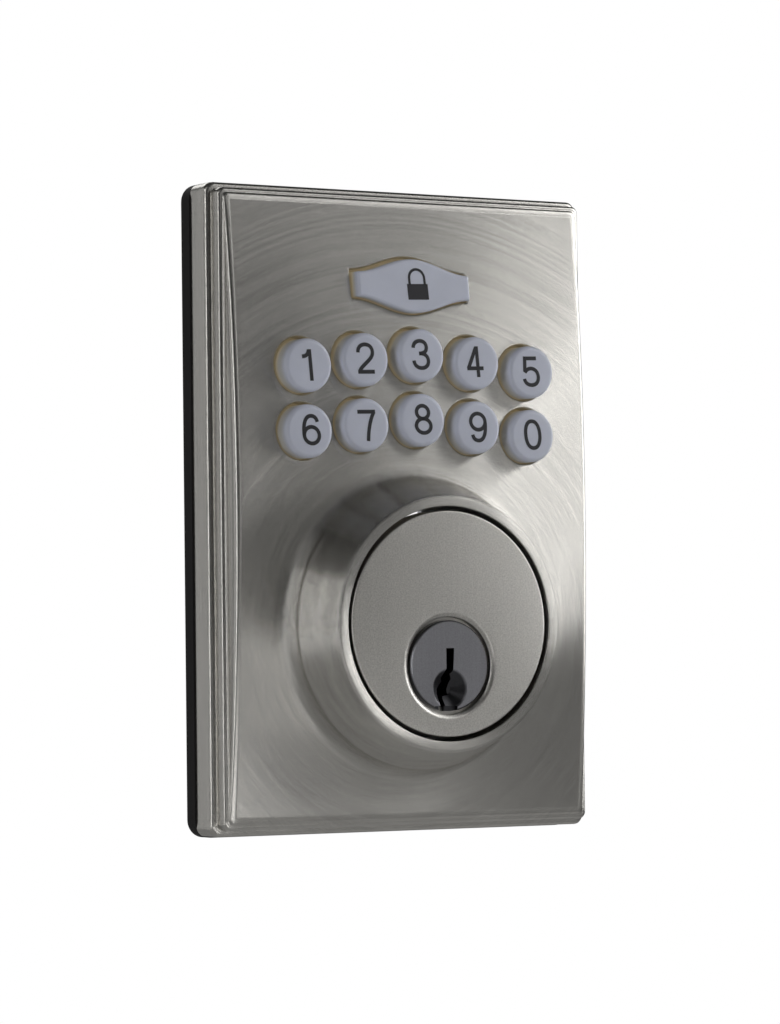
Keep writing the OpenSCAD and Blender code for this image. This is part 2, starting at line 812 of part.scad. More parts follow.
module cylinder_screws() {
    color(steel) on_door() for (side = [-1, 1]) {
        translate([side * housing_screw_x, housing_screw_y, web_z]) {
            pan_screw(housing_screw_r, housing_screw_r + housing_head_over, housing_head_t,
                face_z - 1.4 - web_z);
        }
    }
}

module chamber_cover() {
    color(brass) on_door() translate([cover_land - tower_w / 2, cover_y - plug_drop, body_back_z]) {
        cube([tower_w - 2 * cover_land, cover_t, seat_z - cover_t - body_back_z]);
    }
}

// the warded keyway, from its top down through the plug's lower edge
module keyway_outline() {
    w = keyway_w;
    low = -plug_face_r - 1;
    polygon([
        [-0.41 * w, keyway_top], [0.59 * w, keyway_top],
        [0.45 * w, -0.55 * w], [0.21 * w, -0.86 * w], [0.52 * w, -1.38 * w], [0.38 * w, -1.93 * w],
        [0.17 * w, -2.55 * w], [0.28 * w, -3.1 * w], [-0.55 * w, -3.28 * w],
        [-0.48 * w, low], [-1.03 * w, low],
        [-1.38 * w, -3.24 * w], [-1.38 * w, -2.55 * w], [-0.55 * w, -1.66 * w],
        [-0.83 * w, -1.31 * w], [-0.41 * w, -0.34 * w]
    ]);
}

module plug() {
    color(dark_nickel) on_door() translate([0, -plug_drop]) difference() {
        union() {
            rod(plug_face_r, plug_flange_z, plug_face_z - plug_bevel);
            translate([0, 0, plug_face_z - plug_bevel]) {
                cylinder(r1 = plug_face_r, r2 = plug_face_r - plug_bevel, h = plug_bevel);
            }
            rod(plug_r, neck_z, plug_flange_z + 0.1);
            rod(neck_r - screw_gap, neck_z - neck_l, neck_z + 0.1);
            intersection() {
                rod(tongue_r, neck_z - neck_l - tongue_l, neck_z);
                translate([-tongue_t / 2, -tongue_r, neck_z - neck_l - tongue_l]) {
                    cube([tongue_t, 2 * tongue_r, tongue_l + 1]);
                }
            }
        }
        at_height(keyway_back_z) linear_extrude(plug_face_z - keyway_back_z + 1) keyway_outline();
        translate([0, -guide_drop, plug_face_z - guide_depth]) {
            cylinder(r1 = guide_r * 0.3, r2 = guide_r, h = guide_depth + 0.001);
        }
        translate([-0.67 * notch_w, -plug_face_r - 1, plug_face_z - plug_flange_t / 2]) {
            cube([notch_w, notch_h + 1, plug_flange_t]);
        }
        translate([0, plug_drop]) for (i = PINS) at_pin(i) rod(pin_bore_r, chamber_floor, plug_r + 1);
        for (side = [-1, 1]) {
            translate([side * drill_pin_x, drill_pin_y[0], drill_pin_z]) rotate([-90, 0, 0]) {
                cylinder(r = drill_pin_r, h = 2 * plug_r);
            }
        }
    }
}

module anti_drill_pins() {
    color(steel) on_door() for (side = [-1, 1]) {
        translate([side * drill_pin_x, drill_pin_y[0] - plug_drop, drill_pin_z]) rotate([-90, 0, 0]) {
            cylinder(r = drill_pin_r, h = drill_pin_y[1] - drill_pin_y[0]);
        }
    }
}

// the threaded cap that holds the plug in and the tailpiece's head on
module plug_cap() {
    notch = 1.2;
    color(brass) on_door() translate([0, -plug_drop]) difference() {
        rod(cap_r, cap_back_z, neck_z);
        rod(neck_r, cap_floor_z, neck_z + 1);
        rod(blade_w / 2 + 0.9, cap_back_z - 1, cap_floor_z + 1);
        for (a = [0:30:330]) rotate([0, 0, a]) translate([cap_r, 0, cap_back_z - 1]) {
            cylinder(r = notch / 2, h = neck_z - cap_back_z);
        }
    }
}

// the pocket in the tailpiece's head lets the plug's tongue turn by lost_angle to each side
module lost_motion_outline() {
    half_t = tongue_t / 2 + running_gap;
    reach = tongue_r + running_gap;
    wedge = [for (a = [-lost_angle, 0, lost_angle]) reach * 1.2 * [sin(a), cos(a)]];
    intersection() {
        circle(reach);
        union() {
            for (a = [-lost_angle, lost_angle]) rotate(-a) square([2 * half_t, 3 * reach], center = true);
            for (turn = [0, 180]) rotate(turn) polygon(concat([[0, 0]], wedge));
        }
    }
}

module tailpiece() {
    color(zinc) on_door() translate([0, -plug_drop]) {
        difference() {
            rod(head_r, head_back_z, head_front_z);
            at_height(head_front_z - tongue_l - running_gap) linear_extrude(tongue_l + 1) {
                lost_motion_outline();
            }
        }
        translate([-blade_t / 2, -blade_w / 2, blade_back_z]) {
            cube([blade_t, blade_w, head_back_z - blade_back_z + 0.2]);
        }
    }
}

module key_pin(i) {
    tip = key_pin_tips[i - 1];
    color(brass) on_door() at_pin(i) rotate_extrude() {
        polygon([
            [0, tip], [0.35, tip], [pin_r, tip + 0.9], [pin_r, shear_y - 0.3],
            [pin_r - 0.35, shear_y], [0, shear_y]
        ]);
    }
}

module driver_pin(i) {
    top = driver_y + driver_l;
    color(brass) on_door() at_pin(i) rotate_extrude() {
        polygon([
            [0, driver_y], [pin_r - 0.25, driver_y], [pin_r, driver_y + 0.25],
            [pin_r, top - 0.25], [pin_r - 0.25, top], [0, top]
        ]);
    }
}

// a coil spring swept as one closed skin: rings of points along the helix, and two end caps
module pin_spring(i) {
    turns = 7;
    per_turn = 12;
    sides = 5;
    wire_r = 0.16;
    coil_r = pin_r - wire_r - 0.08;
    low = driver_y + driver_l + wire_r;
    high = cover_y - wire_r;
    rings = turns * per_turn;
    points = [
        for (j = [0:rings], s = [0:sides - 1])
            let (a = 360 * j / per_turn, b = 360 * s / sides, r = coil_r + wire_r * cos(b))
                [r * cos(a), r * sin(a), low + (high - low) * j / rings + wire_r * sin(b)]
    ];
    skin = [
        for (j = [0:rings - 1], s = [0:sides - 1])
            let (t = (s + 1) % sides)
                [j * sides + s, j * sides + t, (j + 1) * sides + t, (j + 1) * sides + s]
    ];
    caps = [
        [for (s = [sides - 1:-1:0]) s],
        [for (s = [0:sides - 1]) rings * sides + s]
    ];
    color(steel) on_door() at_pin(i) polyhedron(points, concat(skin, caps));
}

escutcheon();
gasket();
back_plate();
back_plate_screws();
mounting_posts();
for (i = [0:len(KEYS) - 1]) {
    digit_key(i);
}
lock_key();
keypad_mat();
keypad_board();
board_screws();
backlight_leds();
controller_chip();
buzzer();
cable_socket();
cylinder_housing();
cylinder_screws();
chamber_cover();
plug();
anti_drill_pins();
plug_cap();
tailpiece();
for (i = PINS) {
    key_pin(i);
    driver_pin(i);
    pin_spring(i);
}
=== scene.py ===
"""Outside unit of a keypad deadbolt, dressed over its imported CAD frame.

Lengths in the classes are in millimetres, as (x, height off the door, z); Mesh.build turns them into the
row's metres, where X points right, Z up and Y into the door, so the keypad faces -Y.
"""
import json
import logging
import math
from dataclasses import dataclass, field
from enum import Enum
from typing import Callable, Iterable, Sequence

import bmesh
import bpy
import numpy as np
from mathutils import Matrix, Vector
from mathutils.geometry import delaunay_2d_cdt


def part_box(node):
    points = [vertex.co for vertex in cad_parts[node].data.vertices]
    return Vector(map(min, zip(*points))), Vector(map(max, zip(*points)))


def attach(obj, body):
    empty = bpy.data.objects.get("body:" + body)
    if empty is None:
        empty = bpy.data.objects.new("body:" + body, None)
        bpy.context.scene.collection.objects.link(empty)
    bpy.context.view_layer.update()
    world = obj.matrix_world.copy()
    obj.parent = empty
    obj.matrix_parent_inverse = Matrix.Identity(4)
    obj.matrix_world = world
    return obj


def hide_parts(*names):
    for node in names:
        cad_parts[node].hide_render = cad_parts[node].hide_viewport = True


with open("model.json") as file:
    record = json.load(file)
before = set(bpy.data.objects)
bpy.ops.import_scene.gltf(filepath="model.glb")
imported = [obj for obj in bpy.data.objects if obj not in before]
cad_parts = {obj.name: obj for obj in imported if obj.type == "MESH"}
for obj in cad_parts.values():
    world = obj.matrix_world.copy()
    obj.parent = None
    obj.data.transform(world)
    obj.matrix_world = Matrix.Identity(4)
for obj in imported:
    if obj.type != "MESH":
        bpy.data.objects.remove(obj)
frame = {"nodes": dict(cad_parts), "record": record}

MM = 0.001
ROOT = "lock_body"
SAME_POINT = 1e-7
log = logging.getLogger("deadbolt")

Point = tuple[float, float]
Colour = tuple[float, float, float]
Surface = Callable[[np.ndarray, np.ndarray], np.ndarray]
Outline = Callable[[float], np.ndarray]


# --- shader graphs ---------------------------------------------------------------------------------------


class Kind(Enum):
    """What a wire carries."""

    VALUE = "value"
    VECTOR = "vector"


def joined(operation: str, swapped: bool = False) -> Callable[["Wire", object], "Wire"]:
    """A method that joins a wire with another wire or constant.

    Args:
        operation: name of the Math or Vector Math operation.
        swapped: True where the other operand comes first.

    Returns:
        The method, which gives the result's wire.
    """
    def method(self: "Wire", other: object) -> "Wire":
        pair = (other, self) if swapped else (self, other)
        vector = Kind.VECTOR in (self.kind, getattr(other, "kind", None))
        return self.graph.combine(operation, pair, Kind.VECTOR if vector else Kind.VALUE)

    return method


@dataclass(frozen=True)
class Wire:
    """One output of a shader node, with arithmetic that adds the nodes it needs."""

    graph: "Graph"
    socket: bpy.types.NodeSocket
    kind: Kind = Kind.VALUE

    __add__ = joined("ADD")
    __sub__ = joined("SUBTRACT")
    __rsub__ = joined("SUBTRACT", swapped=True)
    __mul__ = joined("MULTIPLY")

    def __neg__(self) -> "Wire":
        """-self."""
        return self * -1.0

    def absolute(self) -> "Wire":
        """The value without its sign."""
        return self.graph.combine("ABSOLUTE", (self,), self.kind)

    def cross(self, other: "Wire") -> "Wire":
        """The cross product with another vector."""
        return self.graph.combine("CROSS_PRODUCT", (self, other), Kind.VECTOR)

    def unit(self) -> "Wire":
        """The vector at length one."""
        return self.graph.combine("NORMALIZE", (self,), Kind.VECTOR)

    def length(self) -> "Wire":
        """The vector's length."""
        node = self.graph.node("ShaderNodeVectorMath", {0: self}, operation="LENGTH")
        return Wire(self.graph, node.outputs["Value"])

    def parts(self) -> tuple["Wire", "Wire", "Wire"]:
        """The vector's x, y and z."""
        node = self.graph.node("ShaderNodeSeparateXYZ", {"Vector": self})
        return tuple(Wire(self.graph, node.outputs[axis]) for axis in "XYZ")


class Graph:
    """A material with one Principled shader and the node expressions that feed it."""

    def __init__(self, name: str) -> None:
        """Makes the material and its two end nodes."""
        self.material = bpy.data.materials.new(name)
        self.material.use_nodes = True
        self.tree = self.material.node_tree
        self.tree.nodes.clear()
        self.shader = self.node("ShaderNodeBsdfPrincipled")
        self.output = self.node("ShaderNodeOutputMaterial")
        self.tree.links.new(self.shader.outputs["BSDF"], self.output.inputs["Surface"])

    def node(self, kind: str, inputs: dict | None = None, **settings: object) -> bpy.types.Node:
        """Makes one node.

        Args:
            kind: the node's type.
            inputs: sockets by name or number, each with a constant or a wire.
            **settings: the node's own properties.

        Returns:
            The node.
        """
        made = self.tree.nodes.new(kind)
        for name, value in settings.items():
            setattr(made, name, value)
        for name, value in (inputs or {}).items():
            self.feed(made.inputs[name], value)
        return made

    def feed(self, socket: bpy.types.NodeSocket, value: object) -> None:
        """Links a wire to a socket, or sets a constant on it."""
        if isinstance(value, Wire):
            self.tree.links.new(value.socket, socket)
        else:
            socket.default_value = value

    def combine(self, operation: str, operands: Sequence[object], kind: Kind) -> Wire:
        """One Math or Vector Math node over wires and constants.

        Args:
            operation: the node's operation.
            operands: wires, numbers or triples, in order.
            kind: what comes out.

        Returns:
            The result's wire.
        """
        if kind is Kind.VALUE:
            node = self.node("ShaderNodeMath", dict(enumerate(operands)), operation=operation)
            return Wire(self, node.outputs[0])
        triples = [(float(o),) * 3 if isinstance(o, (int, float)) else o for o in operands]
        node = self.node("ShaderNodeVectorMath", dict(enumerate(triples)), operation=operation)
        return Wire(self, node.outputs[0], Kind.VECTOR)

    def place(self) -> Wire:
        """The point on the piece, in its object's metres."""
        return Wire(self, self.node("ShaderNodeTexCoord").outputs["Object"], Kind.VECTOR)

    def normal(self) -> Wire:
        """The smooth normal of the surface."""
        return Wire(self, self.node("ShaderNodeNewGeometry").outputs["Normal"], Kind.VECTOR)

    def vector(self, x: object, y: object, z: object) -> Wire:
        """A vector from three wires or numbers."""
        node = self.node("ShaderNodeCombineXYZ", {"X": x, "Y": y, "Z": z})
        return Wire(self, node.outputs["Vector"], Kind.VECTOR)

    def noise(self, at: Wire, scale: float, detail: float = 2.0, roughness: float = 0.5) -> Wire:
        """Smooth noise round 0.5, with scale in cells per unit and its lattice kept off the middle plane."""
        inputs = {"Vector": at + 7.31, "Scale": scale, "Detail": detail, "Roughness": roughness}
        return Wire(self, self.node("ShaderNodeTexNoise", inputs).outputs["Fac"])

    def speckle(self, at: Wire) -> Wire:
        """A number from 0 to 1 that differs at every point."""
        return Wire(self, self.node("ShaderNodeTexWhiteNoise", {"Vector": at}).outputs["Value"])

    def step(self, value: Wire, low: float, high: float) -> Wire:
        """A soft step from 0 at low to 1 at high."""
        inputs = {"Value": value, "From Min": low, "From Max": high}
        node = self.node("ShaderNodeMapRange", inputs, interpolation_type="SMOOTHSTEP")
        return Wire(self, node.outputs["Result"])

    def spread(self, value: Wire, low: float, high: float) -> Wire:
        """Maps 0 to 1 onto low to high."""
        return value * (high - low) + low

    def mix(self, factor: Wire, first: object, second: object) -> Wire:
        """A colour or vector between two."""
        node = self.node("ShaderNodeMix", data_type="VECTOR")
        for name, value in (("Factor", factor), ("A", first), ("B", second)):
            self.feed(next(s for s in node.inputs if s.name == name and s.enabled), value)
        return Wire(self, next(s for s in node.outputs if s.enabled), Kind.VECTOR)

    def bump(self, height: Wire, distance: float) -> Wire:
        """A normal bent by a height, which is a share of the distance in metres."""
        node = self.node("ShaderNodeBump", {"Height": height, "Distance": distance})
        return Wire(self, node.outputs["Normal"], Kind.VECTOR)

    def surface(self, **values: object) -> bpy.types.Material:
        """Sets the shader's sockets, named with underscores, and returns the material."""
        for name, value in values.items():
            self.feed(self.shader.inputs[name.replace("_", " ").title()], value)
        return self.material


# --- finishes --------------------------------------------------------------------------------------------


class Brush(Enum):
    """Which way a metal's brush marks run."""

    UPRIGHT = "along z"
    PLATE = "round the axis on the panel, along the moulding at its edges"


@dataclass(frozen=True)
class BrushedMetal:
    """Metal with fine brush marks, which smear its highlights across them. Lengths are in metres."""

    name: str
    colour: Colour
    roughness: float
    brush: Brush
    smear: float
    waver: float = 0.3
    contrast: float = 0.5
    edge_smear: float = 0.14
    crown: float = 0.0
    grain: float = 0.0
    # Height off the door, in metres, below which the colour is darkened as painted shade; 0 leaves it out.
    painted_shade_depth: float = 0.0
    mark_height: float = 0.0000035
    drift: float = 0.0
    drift_from: float = 0.025
    drift_to: float = 0.034
    half_width: float = 0.0
    top: float = 0.0
    bottom: float = 0.0
    moulding: float = 0.0025
    blend: float = 0.0006
    mitre: float = 0.0001
    marks_per_metre: float = 5200.0
    ends_per_metre: float = 60.0

    def _regions(self, graph: Graph, at: Wire) -> tuple[Wire, Wire]:
        """Two masks: 1 at the plate's ends and 0 at its sides, and 1 on the panel and 0 on the moulding."""
        x, _, z = at.parts()
        from_side = self.half_width - x.absolute()
        from_end = (self.top - self.bottom) / 2 - (z - (self.top + self.bottom) / 2).absolute()
        ends = graph.step(from_side - from_end, -self.mitre, self.mitre)
        nearest = graph.combine("MINIMUM", (from_side, from_end), Kind.VALUE)
        return ends, graph.step(nearest, self.moulding, self.moulding + self.blend)

    def _along(self, graph: Graph, at: Wire) -> Wire:
        """The direction of the brush marks at a point."""
        upright = graph.vector(0.0, 0.0, 1.0)
        if self.brush is Brush.UPRIGHT:
            return upright
        x, _, z = at.parts()
        off = graph.vector(x, 0.0, z).length()
        height = z - graph.step(off, self.drift_from, self.drift_to) * self.drift
        rounded = graph.vector(-height, 0.0, x).unit()
        ends, panel = self._regions(graph, at)
        edge = graph.mix(ends, upright, graph.vector(1.0, 0.0, 0.0))
        return graph.mix(panel, edge, rounded)

    def _reach(self, graph: Graph, at: Wire) -> Wire | float:
        """How far the marks smear a highlight, which is less along the moulding."""
        if self.brush is Brush.UPRIGHT:
            return self.smear
        _, panel = self._regions(graph, at)
        return graph.spread(panel, self.edge_smear, self.smear)

    def _lines(self, graph: Graph, at: Wire) -> Wire:
        """The place at which the marks' noise is read, so that its cells are long along the marks."""
        x, y, z = at.parts()
        across = self.marks_per_metre
        straight = graph.vector(x * across, y * across, z * self.ends_per_metre)
        if self.brush is Brush.UPRIGHT:
            return straight
        flat = graph.vector(x, 0.0, z)
        ring = graph.vector(flat.length() * across, y * 1200.0, 0.0) + flat.unit() * 6.0
        inner = graph.step(self.half_width - x.absolute(), self.moulding, self.moulding + self.blend)
        return graph.mix(inner, straight, ring)

    def build(self) -> bpy.types.Material:
        """Makes the material."""
        graph = Graph(self.name)
        at = graph.place()
        across = graph.normal().cross(self._along(graph, at)).unit()
        lines = self._lines(graph, at)
        fine = graph.noise(lines, 1.0, 3.0, 0.6)
        middle = graph.noise(lines * 0.37, 1.0)
        broad = graph.noise(lines * 0.13, 1.0)
        cloud = graph.noise(at, 55.0, 3.0, 0.55)
        marks = fine * 0.45 + middle * 0.4 + broad * 0.15
        jitter = graph.speckle(at * 997.0) * 1.5 + graph.speckle(at * 1409.0) * 0.5 - 1.0
        slope = jitter + (middle - 0.5) * self.waver
        x, y, z = at.parts()
        domed = graph.vector(x * self.crown, 0.0, z * self.crown)
        bent = graph.bump(fine, self.mark_height) + domed + across * (slope * self._reach(graph, at))
        tone = graph.spread(marks * 0.8 + cloud * 0.2, 1 - self.contrast, 1 + self.contrast)
        tone = tone * graph.spread(graph.noise(at, 4200.0, 2.0, 0.7), 1 - self.grain, 1 + self.grain)
        # Painted shade: below that height, in the recesses under the plug's face, the colour darkens to a
        # fifth where shade and dark reflections fall.
        if self.painted_shade_depth:
            unshaded = graph.step(-y, self.painted_shade_depth - 0.00025, self.painted_shade_depth + 0.00005)
            tone = tone * graph.spread(unshaded, 0.2, 1.0)
        shade = graph.vector(*self.colour) * tone
        rough = graph.spread(broad * 0.5 + cloud * 0.5, self.roughness - 0.05, self.roughness + 0.05)
        return graph.surface(base_color=shade, metallic=1.0, roughness=rough, normal=bent.unit())


@dataclass(frozen=True)
class PlainMetal:
    """Turned, drawn or plated metal, with a fine grain and faint stains."""

    name: str
    colour: Colour
    roughness: float = 0.3
    grain: float = 900.0
    depth: float = 0.000004

    def build(self) -> bpy.types.Material:
        """Makes the material."""
        graph = Graph(self.name)
        at = graph.place()
        fine = graph.noise(at, self.grain, 3.0, 0.6)
        stain = graph.noise(at, 130.0, 4.0, 0.6)
        shade = graph.vector(*self.colour) * graph.spread(stain * 0.7 + fine * 0.3, 0.8, 1.15)
        rough = graph.spread(stain, self.roughness - 0.08, self.roughness + 0.1)
        return graph.surface(base_color=shade, metallic=1.0, roughness=rough,
                             normal=graph.bump(fine, self.depth))


@dataclass(frozen=True)
class Moulded:
    """Moulded plastic or rubber, with a fine grain."""

    name: str
    colour: Colour
    roughness: float = 0.5
    grain: float = 1500.0
    depth: float = 0.00001
    variation: float = 0.08

    def build(self) -> bpy.types.Material:
        """Makes the material."""
        graph = Graph(self.name)
        at = graph.place()
        fine = graph.noise(at, self.grain, 3.0, 0.6)
        cloud = graph.noise(at, 90.0, 3.0, 0.5)
        tone = graph.spread(cloud * 0.6 + fine * 0.4, 1 - self.variation, 1 + self.variation)
        return graph.surface(base_color=graph.vector(*self.colour) * tone,
                             roughness=graph.spread(cloud, self.roughness - 0.06, self.roughness + 0.06),
                             normal=graph.bump(fine, self.depth))


@dataclass(frozen=True)
class KeyPlastic:
    """Milky, slightly blue plastic with painted light near the panel: an amber glow in its colour and a faint
    amber emission stand in for the lamps behind the keys, and its lower sides carry a painted cream glow.
    """

    name: str
    panel_y: float
    # How far above the panel the painted amber glow and the painted cream glow on the lower sides reach, in
    # metres, then the plastic's own colour and the colours of these two painted glows.
    glow_height: float = 0.0009
    side_glow_height: float = 0.0026
    colour: Colour = (0.70, 0.73, 0.84)
    side_glow_colour: Colour = (0.66, 0.64, 0.57)
    amber: Colour = (0.74, 0.62, 0.40)
    roughness: float = 0.34

    def build(self) -> bpy.types.Material:
        """Makes the material."""
        graph = Graph(self.name)
        at = graph.place()
        _, y, _ = at.parts()
        cloud = graph.noise(at, 240.0, 3.0, 0.55)
        fine = graph.noise(at, 2600.0)
        # Painted light: the cap is tinted cream low on its sides and amber near the panel, a painted glow
        # from the lamps behind the keys rather than the plastic's own colour.
        painted_glow = graph.step(y, self.panel_y - self.glow_height, self.panel_y + 0.0003)
        side = graph.step(y, self.panel_y - self.side_glow_height, self.panel_y - self.side_glow_height * 0.4)
        body = graph.mix(side * 0.75, self.colour, self.side_glow_colour)
        body = graph.mix(painted_glow * 0.8, body, self.amber) * graph.spread(cloud, 0.93, 1.07)
        # The painted amber glow near the panel also goes into a faint emission.
        return graph.surface(base_color=body,
                             roughness=graph.spread(cloud, self.roughness - 0.05, self.roughness + 0.05),
                             subsurface_weight=0.35, subsurface_radius=(0.5, 0.5, 0.55),
                             subsurface_scale=0.0012,
                             emission_color=graph.vector(*self.amber) * (painted_glow * 0.1), emission_strength=1.0,
                             normal=graph.bump(fine, 0.0000025))


Finish = BrushedMetal | PlainMetal | Moulded


# --- meshes ----------------------------------------------------------------------------------------------


def arc(centre: Point, radius: float, start: float, end: float, steps: int) -> list[Point]:
    """Points along a circle.

    Args:
        centre: its centre.
        radius: its radius.
        start: first angle, in degrees.
        end: last angle, in degrees.
        steps: how many stretches the arc has.

    Returns:
        steps + 1 points.
    """
    angles = np.radians(np.linspace(start, end, steps + 1))
    return [(centre[0] + radius * math.cos(a), centre[1] + radius * math.sin(a)) for a in angles]


def bezier(a: Point, b: Point, c: Point, d: Point, steps: int = 12) -> list[Point]:
    """Points along a cubic curve from a to d that leaves towards b and arrives from c."""
    t = np.linspace(0.0, 1.0, steps + 1)[:, None]
    a, b, c, d = (np.array(p, float) for p in (a, b, c, d))
    curve = (1 - t) ** 3 * a + 3 * t * (1 - t) ** 2 * b + 3 * t * t * (1 - t) * c + t ** 3 * d
    return [tuple(p) for p in curve]


def flow(start: Point, *spans: tuple[Point, Point, Point]) -> list[Point]:
    """Points along cubic curves, each of which goes on from the last with two handles and an end."""
    points = [start]
    for leaving, arriving, end in spans:
        points += bezier(points[-1], leaving, arriving, end)[1:]
    return points


def circle(centre: Point, radius: float, count: int) -> np.ndarray:
    """A circle as a loop of (x, z) points."""
    return np.array(arc(centre, radius, 0, 360, count)[:-1])


def lifted(loop: np.ndarray, height: float | np.ndarray) -> np.ndarray:
    """A loop of (x, z) points as (x, height, z) points."""
    return np.stack([loop[:, 0], np.broadcast_to(height, len(loop)), loop[:, 1]], 1)


class Mesh:
    """Vertices and faces of one piece, gathered ring by ring."""

    def __init__(self) -> None:
        """Starts empty."""
        self.points: list[np.ndarray] = []
        self.faces: list[tuple[int, ...]] = []
        self.count = 0

    def ring(self, points: np.ndarray) -> np.ndarray:
        """Adds vertices, an (n, 3) array of x, height and z, and returns their numbers."""
        points = np.asarray(points, float).reshape(-1, 3)
        self.points.append(points)
        numbers = np.arange(self.count, self.count + len(points))
        self.count += len(points)
        return numbers

    def bridge(self, first: np.ndarray, second: np.ndarray, closed: bool = True) -> None:
        """Joins two rings of as many points with quads."""
        last = len(first) if closed else len(first) - 1
        for i in range(last):
            j = (i + 1) % len(first)
            self.faces.append((int(first[i]), int(first[j]), int(second[j]), int(second[i])))

    def stack(self, rings: Sequence[np.ndarray]) -> list[np.ndarray]:
        """Adds closed rings, bridges each to the next and returns the vertex numbers of each."""
        numbers = [self.ring(r) for r in rings]
        for first, second in zip(numbers, numbers[1:]):
            self.bridge(first, second)
        return numbers

    def fan(self, ring: np.ndarray, centre: Sequence[float]) -> None:
        """Closes a ring with triangles to a centre point."""
        middle = int(self.ring([centre])[0])
        for i, number in enumerate(ring):
            self.faces.append((int(number), int(ring[(i + 1) % len(ring)]), middle))

    def lathe(self, profile: Sequence[Point], centre: Point, segments: int) -> None:
        """Turns a profile round an axis.

        Args:
            profile: (radius, height) points, from one pole on the axis to the other.
            centre: the axis as (x, z).
            segments: how many stretches each turn has.
        """
        numbers = self.stack([lifted(circle(centre, radius, segments), height)
                              for radius, height in profile[1:-1]])
        for ring, (_, height) in ((numbers[0], profile[0]), (numbers[-1], profile[-1])):
            self.fan(ring, (centre[0], height, centre[1]))

    def sheet(self, loops: Sequence[np.ndarray], height: float | Callable[[np.ndarray], np.ndarray],
              spacing: float, keep_out: float, known: Sequence[np.ndarray]) -> np.ndarray:
        """Fills the area inside the first loop and outside the others.

        Args:
            loops: the rims as (x, z) points; the outer one comes first.
            height: the sheet's height, or a function of z that gives it.
            spacing: distance between the points set inside the area.
            keep_out: least distance of those points from the rims.
            known: vertex numbers of the first rims, where the mesh has them already.

        Returns:
            The vertex numbers of the whole sheet, the rims' first and in order.
        """
        flat, triangles = fill(loops, spacing, keep_out)
        known = np.concatenate(known)
        new = flat[len(known):]
        level = height(new[:, 1]) if callable(height) else height
        numbers = np.concatenate([known, self.ring(lifted(new, level))])
        self.faces += [tuple(int(numbers[i]) for i in t) for t in triangles]
        return numbers

    def build(self, name: str, material: bpy.types.Material, sharp: float = 35.0) -> bpy.types.Object:
        """Makes the object, smooth but for edges sharper than an angle in degrees."""
        points = np.concatenate(self.points) * MM
        row = np.stack([points[:, 0], -points[:, 1], points[:, 2]], 1)
        mesh = bpy.data.meshes.new(name)
        mesh.from_pydata(row.tolist(), [], self.faces)
        work = bmesh.new()
        work.from_mesh(mesh)
        bmesh.ops.recalc_face_normals(work, faces=work.faces)
        work.to_mesh(mesh)
        work.free()
        mesh.polygons.foreach_set("use_smooth", np.ones(len(mesh.polygons), bool))
        mesh.set_sharp_from_angle(angle=math.radians(sharp))
        mesh.materials.append(material)
        made = bpy.data.objects.new(name, mesh)
        bpy.context.scene.collection.objects.link(made)
        return made


def fill(loops: Sequence[np.ndarray], spacing: float, keep_out: float) -> tuple[np.ndarray, np.ndarray]:
    """Triangulates the area inside the first loop and outside the others.

    Args:
        loops: (n, 2) arrays of x and z; the outer loop comes first.
        spacing: distance between the points set inside the area.
        keep_out: least distance of those points from the loops.

    Returns:
        The points, with the loops' own first and in order, and the triangles.
    """
    edges = []
    start = 0
    for loop in loops:
        edges += [(start + i, start + (i + 1) % len(loop)) for i in range(len(loop))]
        start += len(loop)
    rim = np.concatenate(loops)
    low, high = loops[0].min(0), loops[0].max(0)
    xs = np.arange(low[0] + spacing / 2, high[0], spacing)
    zs = np.arange(low[1] + spacing / 2, high[1], spacing)
    grid = np.array(np.meshgrid(xs, zs)).reshape(2, -1).T
    near = np.array([np.min(np.sum((rim - p) ** 2, 1)) for p in grid])
    grid = grid[(near > keep_out ** 2) & within(grid, loops)]
    points = np.concatenate([rim, grid])
    _, _, faces, origins, _, _ = delaunay_2d_cdt([Vector(p) for p in points], edges, [], 0, SAME_POINT)
    order = [origin[0] for origin in origins]
    triangles = np.array([[order[i] for i in face] for face in faces])
    centres = points[triangles].mean(1)
    return points, triangles[within(centres, loops)]


def within(points: np.ndarray, loops: Sequence[np.ndarray]) -> np.ndarray:
    """True for each point inside the first loop and outside the others."""
    odd = np.zeros(len(points), bool)
    for loop in loops:
        ahead = np.roll(loop, -1, 0)
        for (x0, z0), (x1, z1) in zip(loop, ahead):
            crosses = (z0 > points[:, 1]) != (z1 > points[:, 1])
            if z1 != z0:
                crosses &= points[:, 0] < (x1 - x0) * (points[:, 1] - z0) / (z1 - z0) + x0
            odd ^= crosses
    return odd


def dress(piece: bpy.types.Object, body: str, slot: str, *nodes: str) -> None:
    """Lets a piece ride on a body, hides the CAD nodes it stands for, and logs it."""
    if nodes:
        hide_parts(*nodes)
    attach(piece, body)
    log.info("%s rides on %s, %d faces", piece.name, body, len(piece.data.polygons))


def box_mm(node: str) -> tuple[np.ndarray, np.ndarray]:
    """A CAD node's corners as (x, height, z) in millimetres, lowest and highest."""
    low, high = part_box(node)
    return (np.array([low.x, -high.y, low.z]) / MM, np.array([high.x, -low.y, high.z]) / MM)


# --- the escutcheon --------------------------------------------------------------------------------------


